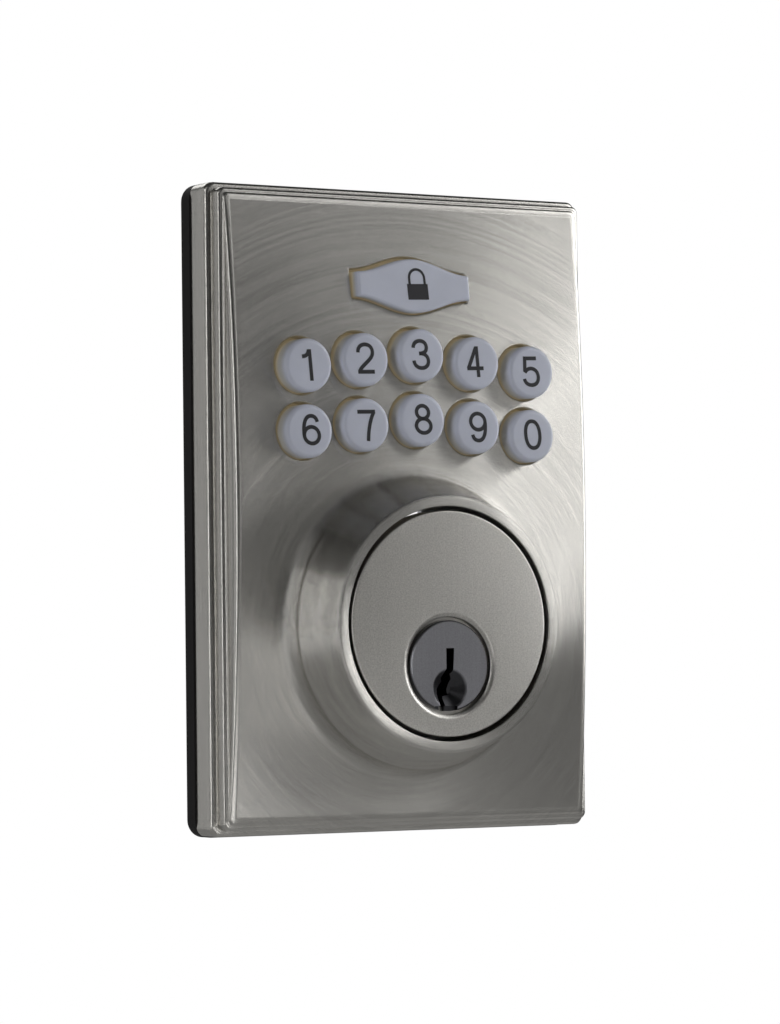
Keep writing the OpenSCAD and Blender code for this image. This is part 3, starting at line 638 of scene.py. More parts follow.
@dataclass
class Escutcheon:
    """The stepped plate with its crowned panel, key openings and coved collar."""

    finish: BrushedMetal
    wall_rise: float = 4.7
    ledge: float = 1.0
    step_rise: float = 2.3
    panel_rise: float = 0.3
    crown_rise: float = 2.7
    wall_edge: float = 0.6
    step_edge: float = 0.5
    hollow: float = 0.06
    wall_corner: float = 1.5
    ledge_corner: float = 1.2
    step_corner: float = 1.05
    panel_corner: float = 0.825
    deck_drop: float = 3.4
    rim_width: float = 4.2
    bore: float = 18.1
    lip: float = 1.2
    lip_round: float = 0.7
    lip_ease: float = 0.15
    band_spread: float = 2.2
    cove_width: float = 2.3
    cove_rise: float = 2.35
    cove_margin: float = 0.25
    bevel: float = 0.2
    bevel_margin: float = 0.09
    per_side: int = 56
    per_end: int = 36
    per_corner: int = 8
    per_cove: int = 15
    around: int = 192

    def __post_init__(self) -> None:
        """Takes the outside sizes from the frame and works out the levels and radii."""
        low, high = box_mm("escutcheon")
        self.half_w, self.bottom, self.top = high[0], low[2], high[2]
        self.rim, self.lip_h = low[1], high[1]
        self.ledge_h = self.rim + self.wall_rise
        self.step_h = self.ledge_h + self.step_rise
        self.crown_h = self.step_h + self.panel_rise + self.crown_rise
        self.middle = (self.top + self.bottom) / 2
        half = (self.top - self.bottom) / 2 - 2 * self.ledge
        self.crown_r = (half ** 2 + self.crown_rise ** 2) / (2 * self.crown_rise)
        self.deck = self.crown_h - self.deck_drop
        self.lip_r = self.bore + self.lip
        self.shoulder = self.lip_r + self.lip_round + self.band_spread
        self.cove_r = self.shoulder + 0.3

    def panel(self, z: np.ndarray | float) -> np.ndarray | float:
        """Height of the crowned panel at z."""
        return self.crown_h - self.crown_r + np.sqrt(self.crown_r ** 2 - (z - self.middle) ** 2)

    def loop(self, inset: float, corner: float) -> np.ndarray:
        """A rounded rectangle inside the plate's outline.

        Args:
            inset: its distance from the outline.
            corner: its corners' radius.

        Returns:
            Its (x, z) points, anticlockwise and always as many.
        """
        w, low, high = self.half_w - inset, self.bottom + inset, self.top - inset
        corners = [(w - corner, low + corner, -90), (w - corner, high - corner, 0),
                   (-w + corner, high - corner, 90), (-w + corner, low + corner, 180)]
        points: list[Point] = []
        for i, (x, z, turn) in enumerate(corners):
            points += arc((x, z), corner, turn, turn + 90, self.per_corner)
            steps = self.per_side if i % 2 == 0 else self.per_end
            ahead = corners[(i + 1) % 4]
            following = arc((ahead[0], ahead[1]), corner, ahead[2], ahead[2], 0)[0]
            line = np.linspace(points[-1], following, steps + 1)[1:-1]
            points += [tuple(p) for p in line]
        return np.array(points)

    def moulding(self) -> list[np.ndarray]:
        """The rings from the back rim up over both ledges to the panel."""
        wall, step, hollow = self.wall_edge, self.step_edge, self.hollow
        first, second = self.ledge_h, self.step_h
        spans = [
            ([(0.0, self.rim), (0.0, self.rim + 0.4), (0.0, first - wall - 0.3)], self.wall_corner),
            (arc((wall, first - wall), wall, 180, 90, 6), self.wall_corner),
            (arc((self.ledge - hollow, first + hollow), hollow, 270, 360, 3), self.ledge_corner),
            (arc((self.ledge + step, second - step), step, 180, 90, 6), self.step_corner),
        ]
        rings = [lifted(self.loop(inset, corner), height) for span, corner in spans for inset, height in span]
        for inset, share in self.slope():
            loop = self.loop(inset, self.panel_corner)
            rings.append(lifted(loop, second + share * (self.panel(loop[:, 1]) - second)))
        return rings

    def slope(self) -> list[Point]:
        """The concave slope and its soft upper edge, as (inset, share of the rise)."""
        start = self.ledge + self.step_edge + 0.03
        bend = (start + 0.36, 0.5)
        foot = bezier((start, 0.0), (start + 0.22, 0.02), (start + 0.3, 0.14), bend, 7)[1:]
        brow = bezier(bend, (start + 0.42, 0.9), (start + 0.7, 1.0), (start + 1.3, 1.0), 11)[1:]
        return foot + brow

    def collar(self) -> list[Point]:
        """The collar's profile, from the cove's inner end over the lip down to the deck.

        Returns:
            (radius, height) points.
        """
        foot = self.panel(0.0) + self.cove_rise
        ease = self.lip_ease
        points = [(self.cove_r, foot), (self.shoulder + 0.26, foot + 0.12),
                  (self.shoulder + 0.02, foot + 0.5), (self.shoulder - 0.05, foot + 0.66)]
        points += arc((self.lip_r, self.lip_h - self.lip_round), self.lip_round, 15, 90, 8)
        points += arc((self.bore + ease, self.lip_h - ease), ease, 90, 180, 4)
        points += [(self.bore, self.lip_h - 1.0), (self.bore, self.deck + 0.4), (self.bore, self.deck)]
        return points

    def build(self, keypad: "Keypad") -> bpy.types.Object:
        """Makes the closed plate round the keypad's openings.

        Args:
            keypad: the keys, for the places and outlines of their openings.

        Returns:
            The piece.
        """
        mesh = Mesh()
        rings = mesh.stack(self.moulding())
        panel_loop = self.loop(self.slope()[-1][0], self.panel_corner)
        openings = keypad.openings()
        cove = circle((0.0, 0.0), self.cove_r + self.cove_width + self.cove_margin, self.around)
        loops = [panel_loop, cove] + [opening(self.bevel + self.bevel_margin) for opening in openings]
        numbers = mesh.sheet(loops, self.panel, spacing=2.0, keep_out=0.8, known=[rings[-1]])

        start = len(panel_loop)
        edges = [self._collar(mesh, numbers[start:start + self.around])]
        start += self.around
        for opening in openings:
            count = len(opening(0.0))
            edges.append(self._opening(mesh, numbers[start:start + count], opening))
            start += count

        back_loop = self.loop(self.rim_width, self.wall_corner)
        back = mesh.stack([lifted(back_loop, self.rim), lifted(back_loop, self.deck)])
        mesh.bridge(rings[0], back[0])
        deck_loops = [back_loop, circle((0.0, 0.0), self.bore, self.around)]
        deck_loops += [opening(0.0) for opening in openings]
        mesh.sheet(deck_loops, self.deck, spacing=6.0, keep_out=2.0, known=[back[1]] + edges)
        return mesh.build("escutcheon_shell", self.finish.build(), sharp=50.0)

    def _collar(self, mesh: Mesh, outer: np.ndarray) -> np.ndarray:
        """Adds the cove and the collar inside a ring on the panel, and returns the ring at the deck."""
        profile = self.collar()
        inner_r, inner_h = profile[0]
        rings = []
        for turn in np.linspace(0.0, math.pi / 2, self.per_cove):
            radius = inner_r + self.cove_width * (1 - math.sin(turn))
            loop = circle((0.0, 0.0), radius, self.around)
            base = self.panel(loop[:, 1] * (inner_r + self.cove_width) / radius)
            rings.append(lifted(loop, base + (inner_h - base) * (1 - math.cos(turn))))
        rings += [lifted(circle((0.0, 0.0), radius, self.around), height) for radius, height in profile[1:]]
        numbers = mesh.stack(rings)
        mesh.bridge(outer, numbers[0])
        return numbers[-1]

    def _opening(self, mesh: Mesh, outer: np.ndarray, opening: Outline) -> np.ndarray:
        """Adds a bevelled key opening inside a ring on the panel, and returns the ring at the deck."""
        steps = [(self.bevel + 0.06, 0.0), (self.bevel, 0.02), (self.bevel - 0.05, 0.06),
                 (0.06, self.bevel - 0.04), (0.015, self.bevel + 0.02), (0.0, self.bevel + 0.12)]
        loops = [(opening(margin), sink) for margin, sink in steps]
        rings = [lifted(loop, self.panel(loop[:, 1]) - sink) for loop, sink in loops]
        numbers = mesh.stack(rings + [lifted(opening(0.0), self.deck)])
        mesh.bridge(outer, numbers[0])
        return numbers[-1]


# --- the keypad ------------------------------------------------------------------------------------------


# How far each digit is printed off its key's middle, in millimetres.
NUDGES: dict[str, Point] = {
    "1": (-0.2, 0.0), "2": (-0.1, 0.2), "3": (-0.3, 0.1), "4": (-0.5, 0.2), "5": (-0.2, 0.05),
    "6": (0.2, 0.2), "7": (0.15, -0.1), "8": (0.0, 0.1), "9": (0.0, 0.05), "0": (0.0, 0.2),
}


@dataclass(frozen=True)
class Pen:
    """Prints strokes as thin bars. Its weight is a share of the sign's height, its angles are in degrees."""

    height: float
    weight: float
    turn: float
    lean: float
    top: float = 0.02
    foot: float = -0.03
    longest: float = 0.08

    def _finer(self, stroke: Sequence[Point]) -> np.ndarray:
        """A line of points with its long stretches split."""
        line = np.array(stroke)
        points = [line[:1]]
        for a, b in zip(line, line[1:]):
            steps = max(1, math.ceil(float(np.linalg.norm(b - a)) / self.longest))
            points.append(np.linspace(a, b, steps + 1)[1:])
        return np.concatenate(points)

    def draw(self, mesh: Mesh, stroke: Sequence[Point], centre: Point, surface: Surface) -> None:
        """Adds one stroke as a thin bar with square ends.

        Args:
            mesh: takes the bar.
            stroke: the centre line in a frame one unit high, closed where its ends meet.
            centre: the sign's middle as (x, z).
            surface: gives the height at (x, z).
        """
        line = self._finer(stroke)
        closed = bool(np.allclose(line[0], line[-1]))
        if closed:
            line = line[:-1]
        ahead = np.roll(line, -1, 0) - line
        behind = line - np.roll(line, 1, 0)
        if not closed:
            ahead[-1], behind[0] = behind[-1], ahead[0]
        ahead /= np.linalg.norm(ahead, axis=1)[:, None]
        behind /= np.linalg.norm(behind, axis=1)[:, None]
        along = ahead + behind
        along /= np.linalg.norm(along, axis=1)[:, None]
        side = np.stack([-along[:, 1], along[:, 0]], 1) * self.weight / 2
        turn, shear = math.radians(self.turn), math.tan(math.radians(self.lean))
        numbers = []
        for offset, lift in ((side, self.top), (side, self.foot), (-side, self.foot), (-side, self.top)):
            flat = (line + offset - np.array([0.0, 0.5])) * self.height
            flat[:, 0] -= shear * flat[:, 1]
            x = centre[0] + flat[:, 0] * math.cos(turn) - flat[:, 1] * math.sin(turn)
            z = centre[1] + flat[:, 0] * math.sin(turn) + flat[:, 1] * math.cos(turn)
            numbers.append(mesh.ring(np.stack([x, surface(x, z) + lift, z], 1)))
        for first, second in zip(numbers, numbers[1:] + numbers[:1]):
            mesh.bridge(first, second, closed)
        if not closed:
            for end in (0, -1):
                mesh.faces.append(tuple(int(n[end]) for n in numbers))


@dataclass(frozen=True)
class Numeral:
    """A printed digit, drawn as strokes round a centre line."""

    sign: str
    pen: Pen = Pen(4.84, 0.125, 1.7, 3.6)

    def strokes(self) -> list[list[Point]]:
        """The digit's centre lines in a frame one unit high, with x = 0 at its middle."""
        low, high = self.pen.weight / 2, 1 - self.pen.weight / 2
        wide = 0.272
        bowl = arc((0.0, 0.0), 1.0, 90, 450, 48)
        shapes = {
            "0": [[(wide * math.copysign(abs(x) ** 0.86, x),
                    0.5 + (high - 0.5) * math.copysign(abs(y) ** 0.92, y)) for x, y in bowl]],
            "1": [[(0.085, 0.0), (0.085, 1.0)],
                  flow((-0.2, 0.775), ((-0.06, 0.775), (0.03, 0.83), (0.055, 0.985)))],
            "2": [flow((-wide, 0.68), ((-wide, 0.85), (-0.14, high), (0.0, high)),
                       ((0.155, high), (0.262, 0.855), (0.262, 0.70)),
                       ((0.262, 0.55), (0.15, 0.47), (0.0, 0.345)),
                       ((-0.14, 0.235), (-0.235, 0.16), (-0.262, low))),
                  [(-0.322, low), (0.29, low)]],
            "3": [flow((-0.26, 0.715), ((-0.25, 0.86), (-0.13, high), (0.0, high)),
                       ((0.145, high), (0.232, 0.86), (0.232, 0.735)),
                       ((0.232, 0.6), (0.14, 0.53), (-0.06, 0.53))),
                  flow((0.0, 0.53), ((0.16, 0.53), (0.268, 0.44), (0.268, 0.295)),
                       ((0.268, 0.15), (0.16, low), (0.0, low)),
                       ((-0.15, low), (-0.265, 0.15), (-wide, 0.305)))],
            "4": [[(0.1, 0.0), (0.1, 1.0)], [(0.075, 0.965), (-0.262, 0.285)],
                  [(-0.31, 0.285), (0.31, 0.285)]],
            "5": [[(0.245, high), (-0.205, high)], [(-0.19, 1.0), (-0.232, 0.5)],
                  flow((-0.235, 0.47), ((-0.18, 0.56), (-0.09, 0.605), (0.005, 0.605)),
                       ((0.165, 0.605), (wide, 0.49), (wide, 0.335)),
                       ((wide, 0.17), (0.165, low), (0.0, low)),
                       ((-0.145, low), (-0.25, 0.13), (-wide, 0.27)))],
            "6": [[(0.003 + wide * x, 0.325 + (0.325 - low) * y) for x, y in bowl],
                  flow((-wide, 0.33), ((-0.285, 0.7), (-0.17, high), (0.02, high)),
                       ((0.14, high), (0.22, 0.88), (0.243, 0.745)))],
            "7": [[(-0.345, high), (0.31, high)],
                  flow((0.262, 0.93), ((0.1, 0.7), (0.0, 0.35), (-0.03, 0.0)))],
            "8": [[(0.225 * x, 0.728 + (high - 0.728) * y) for x, y in bowl],
                  [(wide * x, 0.292 + (0.292 - low) * y) for x, y in bowl]],
            "9": [[(-0.003 + wide * x, 0.675 + (high - 0.675) * y) for x, y in bowl],
                  flow((wide, 0.67), ((0.285, 0.3), (0.17, low), (-0.02, low)),
                       ((-0.14, low), (-0.22, 0.12), (-0.243, 0.255)))],
        }
        return shapes[self.sign]

    def mesh(self, centre: Point, surface: Surface) -> Mesh:
        """The digit as a thin layer on a surface."""
        mesh = Mesh()
        for stroke in self.strokes():
            self.pen.draw(mesh, stroke, centre, surface)
        return mesh


@dataclass(kw_only=True)
class Key:
    """A push key: a cap with a flange that stops it behind its opening in the panel."""

    gap: float = 0.3
    flange: float = 0.5
    flange_t: float = 0.8
    pedestal_t: float = 0.5
    sag: float = 0.12

    def take_place(self, node: str) -> None:
        """Takes the place and size from a CAD node, whose body has the same name."""
        low, high = box_mm(node)
        self.node = node
        self.centre = ((low[0] + high[0]) / 2, (low[2] + high[2]) / 2)
        self.middle = (self.centre[0], self.centre[1] - self.sag)
        self.wide, self.tall = high[0] - low[0] - 2 * self.flange, high[2] - low[2] - 2 * self.flange
        self.bottom, self.top = low[1], high[1]

    def finish(self, cap: Mesh, plastic: bpy.types.Material, sign: Mesh, ink: bpy.types.Material,
               sign_name: str) -> None:
        """Turns the meshes of the cap and of the sign on it into pieces that ride on the key."""
        dress(cap.build(f"{self.node}_cap", plastic), self.node, "key_plastic", self.node)
        dress(sign.build(f"{self.node}_{sign_name}", ink, sharp=60.0), self.node, "key_plastic")


@dataclass
class RoundKey(Key):
    """A round push key with a softly rounded edge and a printed digit."""

    sign: str
    pedestal: float = 1.93
    edge: float = 0.75
    dish: float = 0.07
    slim: float = 0.24
    sink: float = 0.65
    around: int = 96
    around_opening: int = 72

    def __post_init__(self) -> None:
        """Takes the place and size from the frame, with a slimmer and lower cap than the solid's."""
        self.take_place(f"key_{self.sign}")
        self.radius = self.wide / 2 - self.slim
        self.top -= self.sink

    def opening(self, margin: float) -> np.ndarray:
        """The outline of the key's opening as (x, z) points, moved out by a margin."""
        return circle(self.centre, self.radius + self.gap + margin, self.around_opening)

    def surface(self, x: np.ndarray, z: np.ndarray) -> np.ndarray:
        """Height of the faintly domed face."""
        off = ((x - self.middle[0]) ** 2 + (z - self.middle[1]) ** 2) / self.radius ** 2
        return self.top - self.dish * off

    def build(self, plastic: bpy.types.Material, ink: bpy.types.Material) -> None:
        """Makes the key and its digit."""
        shelf = self.bottom + self.pedestal_t
        rim = self.radius + self.slim + self.flange
        inner = self.radius - self.edge
        brow = self.top - self.dish * (inner / self.radius) ** 2
        profile = [(0.0, self.bottom), (self.pedestal, self.bottom), (self.pedestal, shelf), (rim, shelf),
                   (rim, shelf + self.flange_t), (self.radius, shelf + self.flange_t),
                   (self.radius, brow - self.edge - 0.4)]
        profile += arc((inner, brow - self.edge), self.edge, 0, 90, 12)
        profile += [(r, self.top - self.dish * (r / self.radius) ** 2)
                    for r in (inner * 0.66, inner * 0.33, 0.0)]
        cap = Mesh()
        cap.lathe(profile, self.middle, self.around)
        nudge = NUDGES[self.sign]
        digit = Numeral(self.sign).mesh((self.middle[0] + nudge[0], self.middle[1] + nudge[1]), self.surface)
        self.finish(cap, plastic, digit, ink, "digit")


@dataclass
class LockKey(Key):
    """The long key with ogee sides, and its padlock sign."""

    end: float = 3.9
    edge: float = 0.5
    corner: float = 0.3
    lean: float = 0.06
    columns: int = 40
    per_end: int = 6

    def __post_init__(self) -> None:
        """Takes the place and size from the frame."""
        self.take_place("lock_key")
        self.half = self.wide / 2
        self.bottom += self.pedestal_t

    def outline(self, margin: float) -> np.ndarray:
        """The key's outline as (x, z) points, anticlockwise, moved out by a margin."""
        straight = self.half - self.corner
        turn = np.radians(np.linspace(15, 90, 6))
        end = straight + self.corner * np.sin(turn)
        x = np.concatenate([-end[::-1], np.linspace(-straight, straight, self.columns + 1), end])
        swell = (self.tall - self.end) * (1 + np.cos(math.pi * x / self.half)) / 4
        past = np.clip(np.abs(x) - straight, 0.0, self.corner)
        high = margin + self.end / 2 + swell - self.corner + np.sqrt(self.corner ** 2 - past ** 2)
        wide = x * (self.half + margin) / self.half
        lower = np.stack([wide, -high], 1)
        upper = np.stack([wide[::-1], high[::-1]], 1)
        right = np.linspace(lower[-1], upper[0], self.per_end + 1)[1:-1]
        left = np.linspace(upper[-1], lower[0], self.per_end + 1)[1:-1]
        loop = np.concatenate([lower, right, upper, left])
        loop[:, 0] -= self.lean * loop[:, 1]
        return loop + np.array(self.centre)

    def opening(self, margin: float) -> np.ndarray:
        """The outline of the key's opening as (x, z) points, moved out by a margin."""
        return self.outline(self.gap + margin)

    def surface(self, x: np.ndarray, z: np.ndarray) -> np.ndarray:
        """Height of the face, which is flat."""
        return np.full(np.shape(x), self.top)

    def build(self, plastic: bpy.types.Material, ink: bpy.types.Material) -> None:
        """Makes the key and its sign."""
        shelf = self.bottom + self.flange_t
        brow = self.top - self.edge
        steps = [(self.flange, self.bottom), (self.flange, shelf), (0.0, shelf), (0.0, brow - 0.3)]
        steps += [(inset - self.edge, height) for inset, height in arc((0.0, brow), self.edge, 0, 90, 8)]
        drop = np.array([0.0, self.sag])
        loops = [self.outline(margin) - drop for margin, _ in steps]
        cap = Mesh()
        rings = cap.stack([lifted(loop, height) for loop, (_, height) in zip(loops, steps)])
        for end in (0, -1):
            cap.sheet([loops[end]], steps[end][1], spacing=1.5, keep_out=0.7, known=[rings[end]])
        sign = Padlock((self.middle[0] + 0.46, self.middle[1] + 0.33)).mesh(self.surface)
        self.finish(cap, plastic, sign, ink, "sign")


@dataclass
class Padlock:
    """A plain padlock sign: a block under a round shackle."""

    centre: Point
    width: float = 3.75
    block: float = 2.45
    shackle: float = 2.5
    shackle_w: float = 2.75
    weight: float = 0.42
    turn: float = 2.2
    lean: float = 4.4

    def mesh(self, surface: Surface) -> Mesh:
        """The sign as a thin layer on a surface, drawn with a thin pen and one as thick as the block."""
        total = self.block + self.shackle
        reach, block, half = (size / total for size in (self.shackle_w / 2, self.block, self.width / 2))
        spring = 1.0 - reach - self.weight / 2 / total
        foot = block - 0.03
        shackle = [(reach, foot)] + arc((0.0, spring), reach, 0, 180, 24) + [(-reach, foot)]
        bar = [(-half, block / 2), (0.0, block / 2), (half, block / 2)]
        mesh = Mesh()
        for line, weight in ((shackle, self.weight), (bar, self.block)):
            Pen(total, weight / total, self.turn, self.lean).draw(mesh, line, self.centre, surface)
        return mesh


@dataclass
class Keypad:
    """All the keys."""

    keys: list[RoundKey] = field(default_factory=lambda: [RoundKey(digit) for digit in NUDGES])
    lock: LockKey = field(default_factory=LockKey)

    def openings(self) -> list[Outline]:
        """The openings that the keys need, as outlines that grow by a margin."""
        return [key.opening for key in self.keys] + [self.lock.opening]

    def build(self, panel: Callable[[float], float]) -> None:
        """Makes every key; panel gives the panel's height at z."""
        plastic = KeyPlastic("key_plastic", -panel(self.keys[2].centre[1]) * MM).build()
        # The lock key's painted amber glow and painted cream side glow reach less far above the panel.
        lower = KeyPlastic("lock_key_plastic", -panel(self.lock.centre[1]) * MM,
                           glow_height=0.0006, side_glow_height=0.0011).build()
        ink = Moulded("key_ink", (0.02, 0.02, 0.025), 0.45, grain=3000.0, depth=0.000002).build()
        for key in self.keys:
            key.build(plastic, ink)
        self.lock.build(lower, ink)


# --- the cylinder ----------------------------------------------------------------------------------------


@dataclass
class CylinderFace:
    """The visible front of the cylinder housing, a thin skin over the solid one."""

    finish: BrushedMetal
    skin: float = 0.02
    bevel: float = 0.22
    rim: float = 0.66
    recess: float = 0.56
    depth: float = 3.6
    around: int = 192
    around_plug: int = 128

    def build(self) -> None:
        """Makes the face as a ring round the plug's recess."""
        low, high = box_mm("cylinder_housing")
        plug_low, plug_high = box_mm("plug")
        plug_z = (plug_low[2] + plug_high[2]) / 2
        inner = (plug_high[0] - plug_low[0]) / 2 + self.recess
        radius, top, rim = high[0], high[1], self.rim
        outer = [(radius, top - self.depth), (radius, top - self.bevel - 0.2)]
        outer += arc((radius - self.bevel, top - self.bevel), self.bevel, 0, 90, 6)
        outer += [(radius - self.bevel - 0.25, top)]
        hollow = [(inner + rim + 0.2, top), (inner + rim, top - 0.01), (inner + rim * 0.75, top - 0.08),
                  (inner + 0.05, top - rim / 2 + 0.02), (inner, top - rim / 2 - 0.08), (inner, top - 1.5)]
        faces = [lifted(circle((0.0, 0.0), r + self.skin, self.around), h + self.skin) for r, h in outer]
        wells = [lifted(circle((0.0, plug_z), r - self.skin, self.around_plug), h + self.skin)
                 for r, h in hollow]
        mesh = Mesh()
        outside, inside = mesh.stack(faces), mesh.stack(wells)
        rims = [faces[-1][:, ::2], wells[0][:, ::2]]
        mesh.sheet(rims, top + self.skin, spacing=1.6, keep_out=0.6, known=[outside[-1], inside[0]])
        dress(mesh.build("cylinder_face", self.finish.build(), sharp=50.0), ROOT, "cylinder_nickel")


# --- the carried-over CAD nodes --------------------------------------------------------------------------


@dataclass
class Hardware:
    """The CAD nodes that keep their own shape, by material slot."""

    finishes: dict[str, Finish]

    def dress(self) -> None:
        """Gives every node of the frame its slot's material."""
        made = {slot: finish.build() for slot, finish in self.finishes.items()}
        slots = {part["node"]: part["material_slot"] for part in frame["record"]["subparts"]}
        for name, node in frame["nodes"].items():
            material = made[slots[name]]
            if not node.material_slots:
                node.data.materials.append(material)
            for holder in node.material_slots:
                holder.material = material
            log.info("%s keeps its CAD shape in %s", name, material.name)


# --- the studio ------------------------------------------------------------------------------------------


@dataclass(frozen=True)
class SoftBox:
    """A rectangular lamp that faces the object's middle. Angles in degrees, lengths in metres."""

    name: str
    azimuth: float
    elevation: float
    distance: float
    width: float
    height: float
    radiance: float

    def build(self, aim: Vector) -> None:
        """Makes the lamp; azimuth 0 is straight in front and 90 is to the right of the object."""
        a, e = math.radians(self.azimuth), math.radians(self.elevation)
        away = Vector((math.sin(a) * math.cos(e), -math.cos(a) * math.cos(e), math.sin(e)))
        lamp = bpy.data.lights.new(self.name, "AREA")
        lamp.shape = "RECTANGLE"
        lamp.size, lamp.size_y = self.width, self.height
        lamp.energy = self.radiance * self.width * self.height * math.pi
        made = bpy.data.objects.new(self.name, lamp)
        made.location = aim + away * self.distance
        made.rotation_mode = "QUATERNION"
        made.rotation_quaternion = away.to_track_quat("Z", "Y")
        bpy.context.scene.collection.objects.link(made)


# Each lamp's azimuth, elevation, distance, width, height and radiance.
LAMPS = (
    SoftBox("right_box", 68, 12, 0.45, 0.22, 0.30, 3.4),
    SoftBox("near_right", 62, 36, 0.17, 0.07, 0.07, 1.2),
    SoftBox("upper_box", 38, 30, 1.3, 0.5, 0.3, 1.45),
    SoftBox("front_right", 31, 3, 1.3, 1.0, 1.0, 0.2),
    SoftBox("back_left", -147, 0, 1.3, 0.5, 1.4, 0.46),
    SoftBox("left_wall", -108, 0, 1.3, 0.3, 1.5, 1.0),
    SoftBox("left_front", -66, 5, 1.3, 0.2, 1.2, 4.0),
    SoftBox("front_left", -38, 32, 1.3, 0.5, 0.4, 0.5),
    SoftBox("front_low", -8, -17, 1.3, 0.45, 0.35, 2.4),
    SoftBox("front_low_right", 14, -19, 0.6, 0.14, 0.08, 2.8),
    SoftBox("back_upper", 172, 40, 1.4, 0.9, 0.7, 1.6),
)


def white_to_camera(tree: bpy.types.NodeTree, shader: bpy.types.Node, white: bpy.types.Node,
                    output: bpy.types.Node) -> None:
    """Sends the camera's own rays to a white shader and all the others to the first one."""
    seen = tree.nodes.new("ShaderNodeLightPath")
    choice = tree.nodes.new("ShaderNodeMixShader")
    tree.links.new(seen.outputs["Is Camera Ray"], choice.inputs["Fac"])
    tree.links.new(shader.outputs[0], choice.inputs[1])
    tree.links.new(white.outputs[0], choice.inputs[2])
    tree.links.new(choice.outputs["Shader"], output.inputs["Surface"])


@dataclass
class Studio:
    """Camera, lamps, world and floor, in metres."""

    camera_at: tuple[float, float, float] = (-0.32304, -0.54523, -0.00579)
    forward: tuple[float, float, float] = (0.51257, 0.85782, 0.03750)
    up: tuple[float, float, float] = (-0.00890, -0.03836, 0.99922)
    lens: float = 140.5
    floor_drop: float = 0.35
    floor_size: float = 8.0
    ambient: float = 0.04

    def build(self, aim: Vector) -> None:
        """Makes the whole studio round a point on the object."""
        self._camera()
        self._world()
        self._floor(aim)
        for lamp in LAMPS:
            lamp.build(aim)

    def _camera(self) -> None:
        """The camera, which looks along forward."""
        data = bpy.data.cameras.new("camera")
        data.lens = self.lens
        data.clip_start, data.clip_end = 0.01, 50.0
        made = bpy.data.objects.new("camera", data)
        back = -Vector(self.forward).normalized()
        right = Vector(self.up).cross(back).normalized()
        turn = Matrix((right, back.cross(right), back)).transposed().to_4x4()
        made.matrix_world = Matrix.Translation(Vector(self.camera_at)) @ turn
        bpy.context.scene.collection.objects.link(made)
        bpy.context.scene.camera = made

    def _world(self) -> None:
        """A dim room that the camera itself sees as white."""
        world = bpy.data.worlds.new("studio")
        world.use_nodes = True
        tree = world.node_tree
        tree.nodes.clear()
        room, white = (tree.nodes.new("ShaderNodeBackground") for _ in range(2))
        for background, strength in ((room, self.ambient), (white, 1.0)):
            background.inputs["Color"].default_value = (1.0, 1.0, 1.0, 1.0)
            background.inputs["Strength"].default_value = strength
        white_to_camera(tree, room, white, tree.nodes.new("ShaderNodeOutputWorld"))
        bpy.context.scene.world = world
        bpy.context.scene.view_settings.view_transform = "Standard"

    def _floor(self, aim: Vector) -> None:
        """A pale floor below the object, white to the camera."""
        graph = Graph("floor")
        grain = graph.noise(graph.place(), 14.0, 3.0, 0.5)
        graph.surface(base_color=graph.vector(0.8, 0.8, 0.8) * graph.spread(grain, 0.98, 1.02), roughness=0.9)
        white = graph.node("ShaderNodeEmission", {"Strength": 1.0})
        white_to_camera(graph.tree, graph.shader, white, graph.output)
        bpy.ops.mesh.primitive_plane_add(size=self.floor_size, location=aim - Vector((0, 0, self.floor_drop)))
        floor = bpy.context.object
        floor.name = "floor"
        floor.data.materials.append(graph.material)


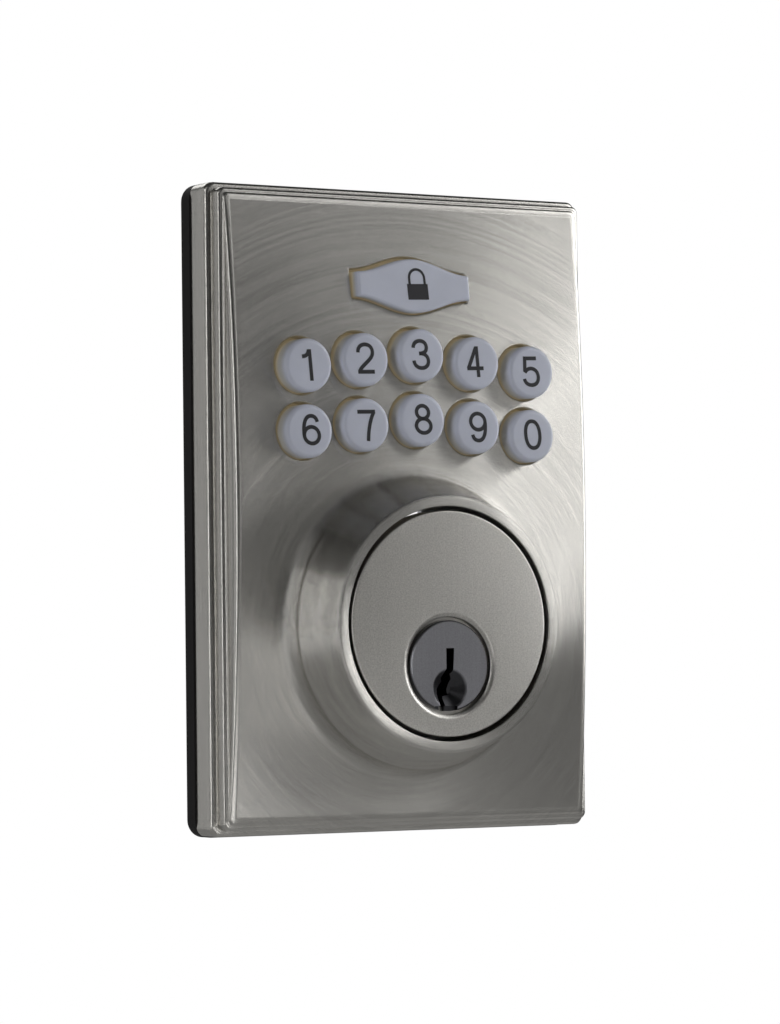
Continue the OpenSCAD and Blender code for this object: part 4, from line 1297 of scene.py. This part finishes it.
def finishes(nickel: Colour, plug_face: float) -> dict[str, Finish]:
    """The finish of each material slot.

    Args:
        nickel: the nickel plating's colour.
        plug_face: height of the plug's face off the door, in metres.

    Returns:
        Finishes by slot name.
    """
    return {
        "satin_nickel": PlainMetal("satin_nickel_cast", nickel, 0.4),
        "cylinder_nickel": PlainMetal("cylinder_nickel_cast", nickel, 0.35),
        # The plug's keyway and guide cone get painted shade below its face.
        "plug_nickel": BrushedMetal("plug_nickel", (0.36, 0.36, 0.385), 0.3, Brush.UPRIGHT, 0.15, waver=0.1,
                                    contrast=0.2, grain=0.25, painted_shade_depth=plug_face - 0.00002),
        "gasket_rubber": Moulded("gasket_rubber", (0.004, 0.003, 0.0035), 0.75, 900.0, 0.00002),
        "zinc_plated_steel": PlainMetal("zinc_plate", (0.66, 0.67, 0.69), 0.36, 500.0),
        "screw_steel": PlainMetal("screw_steel", (0.55, 0.55, 0.57), 0.33),
        "tailpiece_steel": PlainMetal("tailpiece_steel", (0.60, 0.60, 0.61), 0.32),
        "spring_steel": PlainMetal("spring_steel", (0.58, 0.58, 0.60), 0.25),
        "brass": PlainMetal("brass", (0.80, 0.60, 0.30), 0.28),
        "key_plastic": Moulded("key_plastic_plain", (0.62, 0.64, 0.72), 0.35),
        "silicone": Moulded("silicone", (0.70, 0.70, 0.68), 0.55),
        "circuit_board": Moulded("circuit_board", (0.03, 0.18, 0.08), 0.4),
        "chip_plastic": Moulded("chip_plastic", (0.03, 0.03, 0.035), 0.5),
        "led_amber": Moulded("led_amber", (0.95, 0.62, 0.16), 0.3),
        "socket_plastic": Moulded("socket_plastic", (0.82, 0.79, 0.68), 0.5),
    }


def main() -> None:
    """Dresses the frame, builds each sub-assembly and sets up the studio."""
    logging.basicConfig(level=logging.INFO, format="%(name)s: %(message)s")
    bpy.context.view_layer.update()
    nickel = (0.62, 0.605, 0.57)
    plug_low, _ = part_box("plug")
    Hardware(finishes(nickel, -plug_low.y)).dress()

    low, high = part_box("escutcheon")
    satin = BrushedMetal("satin_nickel", nickel, 0.24, Brush.PLATE, 0.62, drift=0.0055,
                         half_width=high.x, top=high.z, bottom=low.z)
    keypad = Keypad()
    escutcheon = Escutcheon(satin)
    dress(escutcheon.build(keypad), ROOT, "satin_nickel", "escutcheon")
    keypad.build(escutcheon.panel)
    face = BrushedMetal("cylinder_nickel", nickel, 0.33, Brush.UPRIGHT, 0.2, waver=0.0, contrast=0.08,
                        crown=3.4, grain=0.45, mark_height=0.0000008)
    CylinderFace(face).build()

    Studio().build(Vector((0.0, -0.01, escutcheon.middle * MM)))


if __name__ == "__main__":
    main()
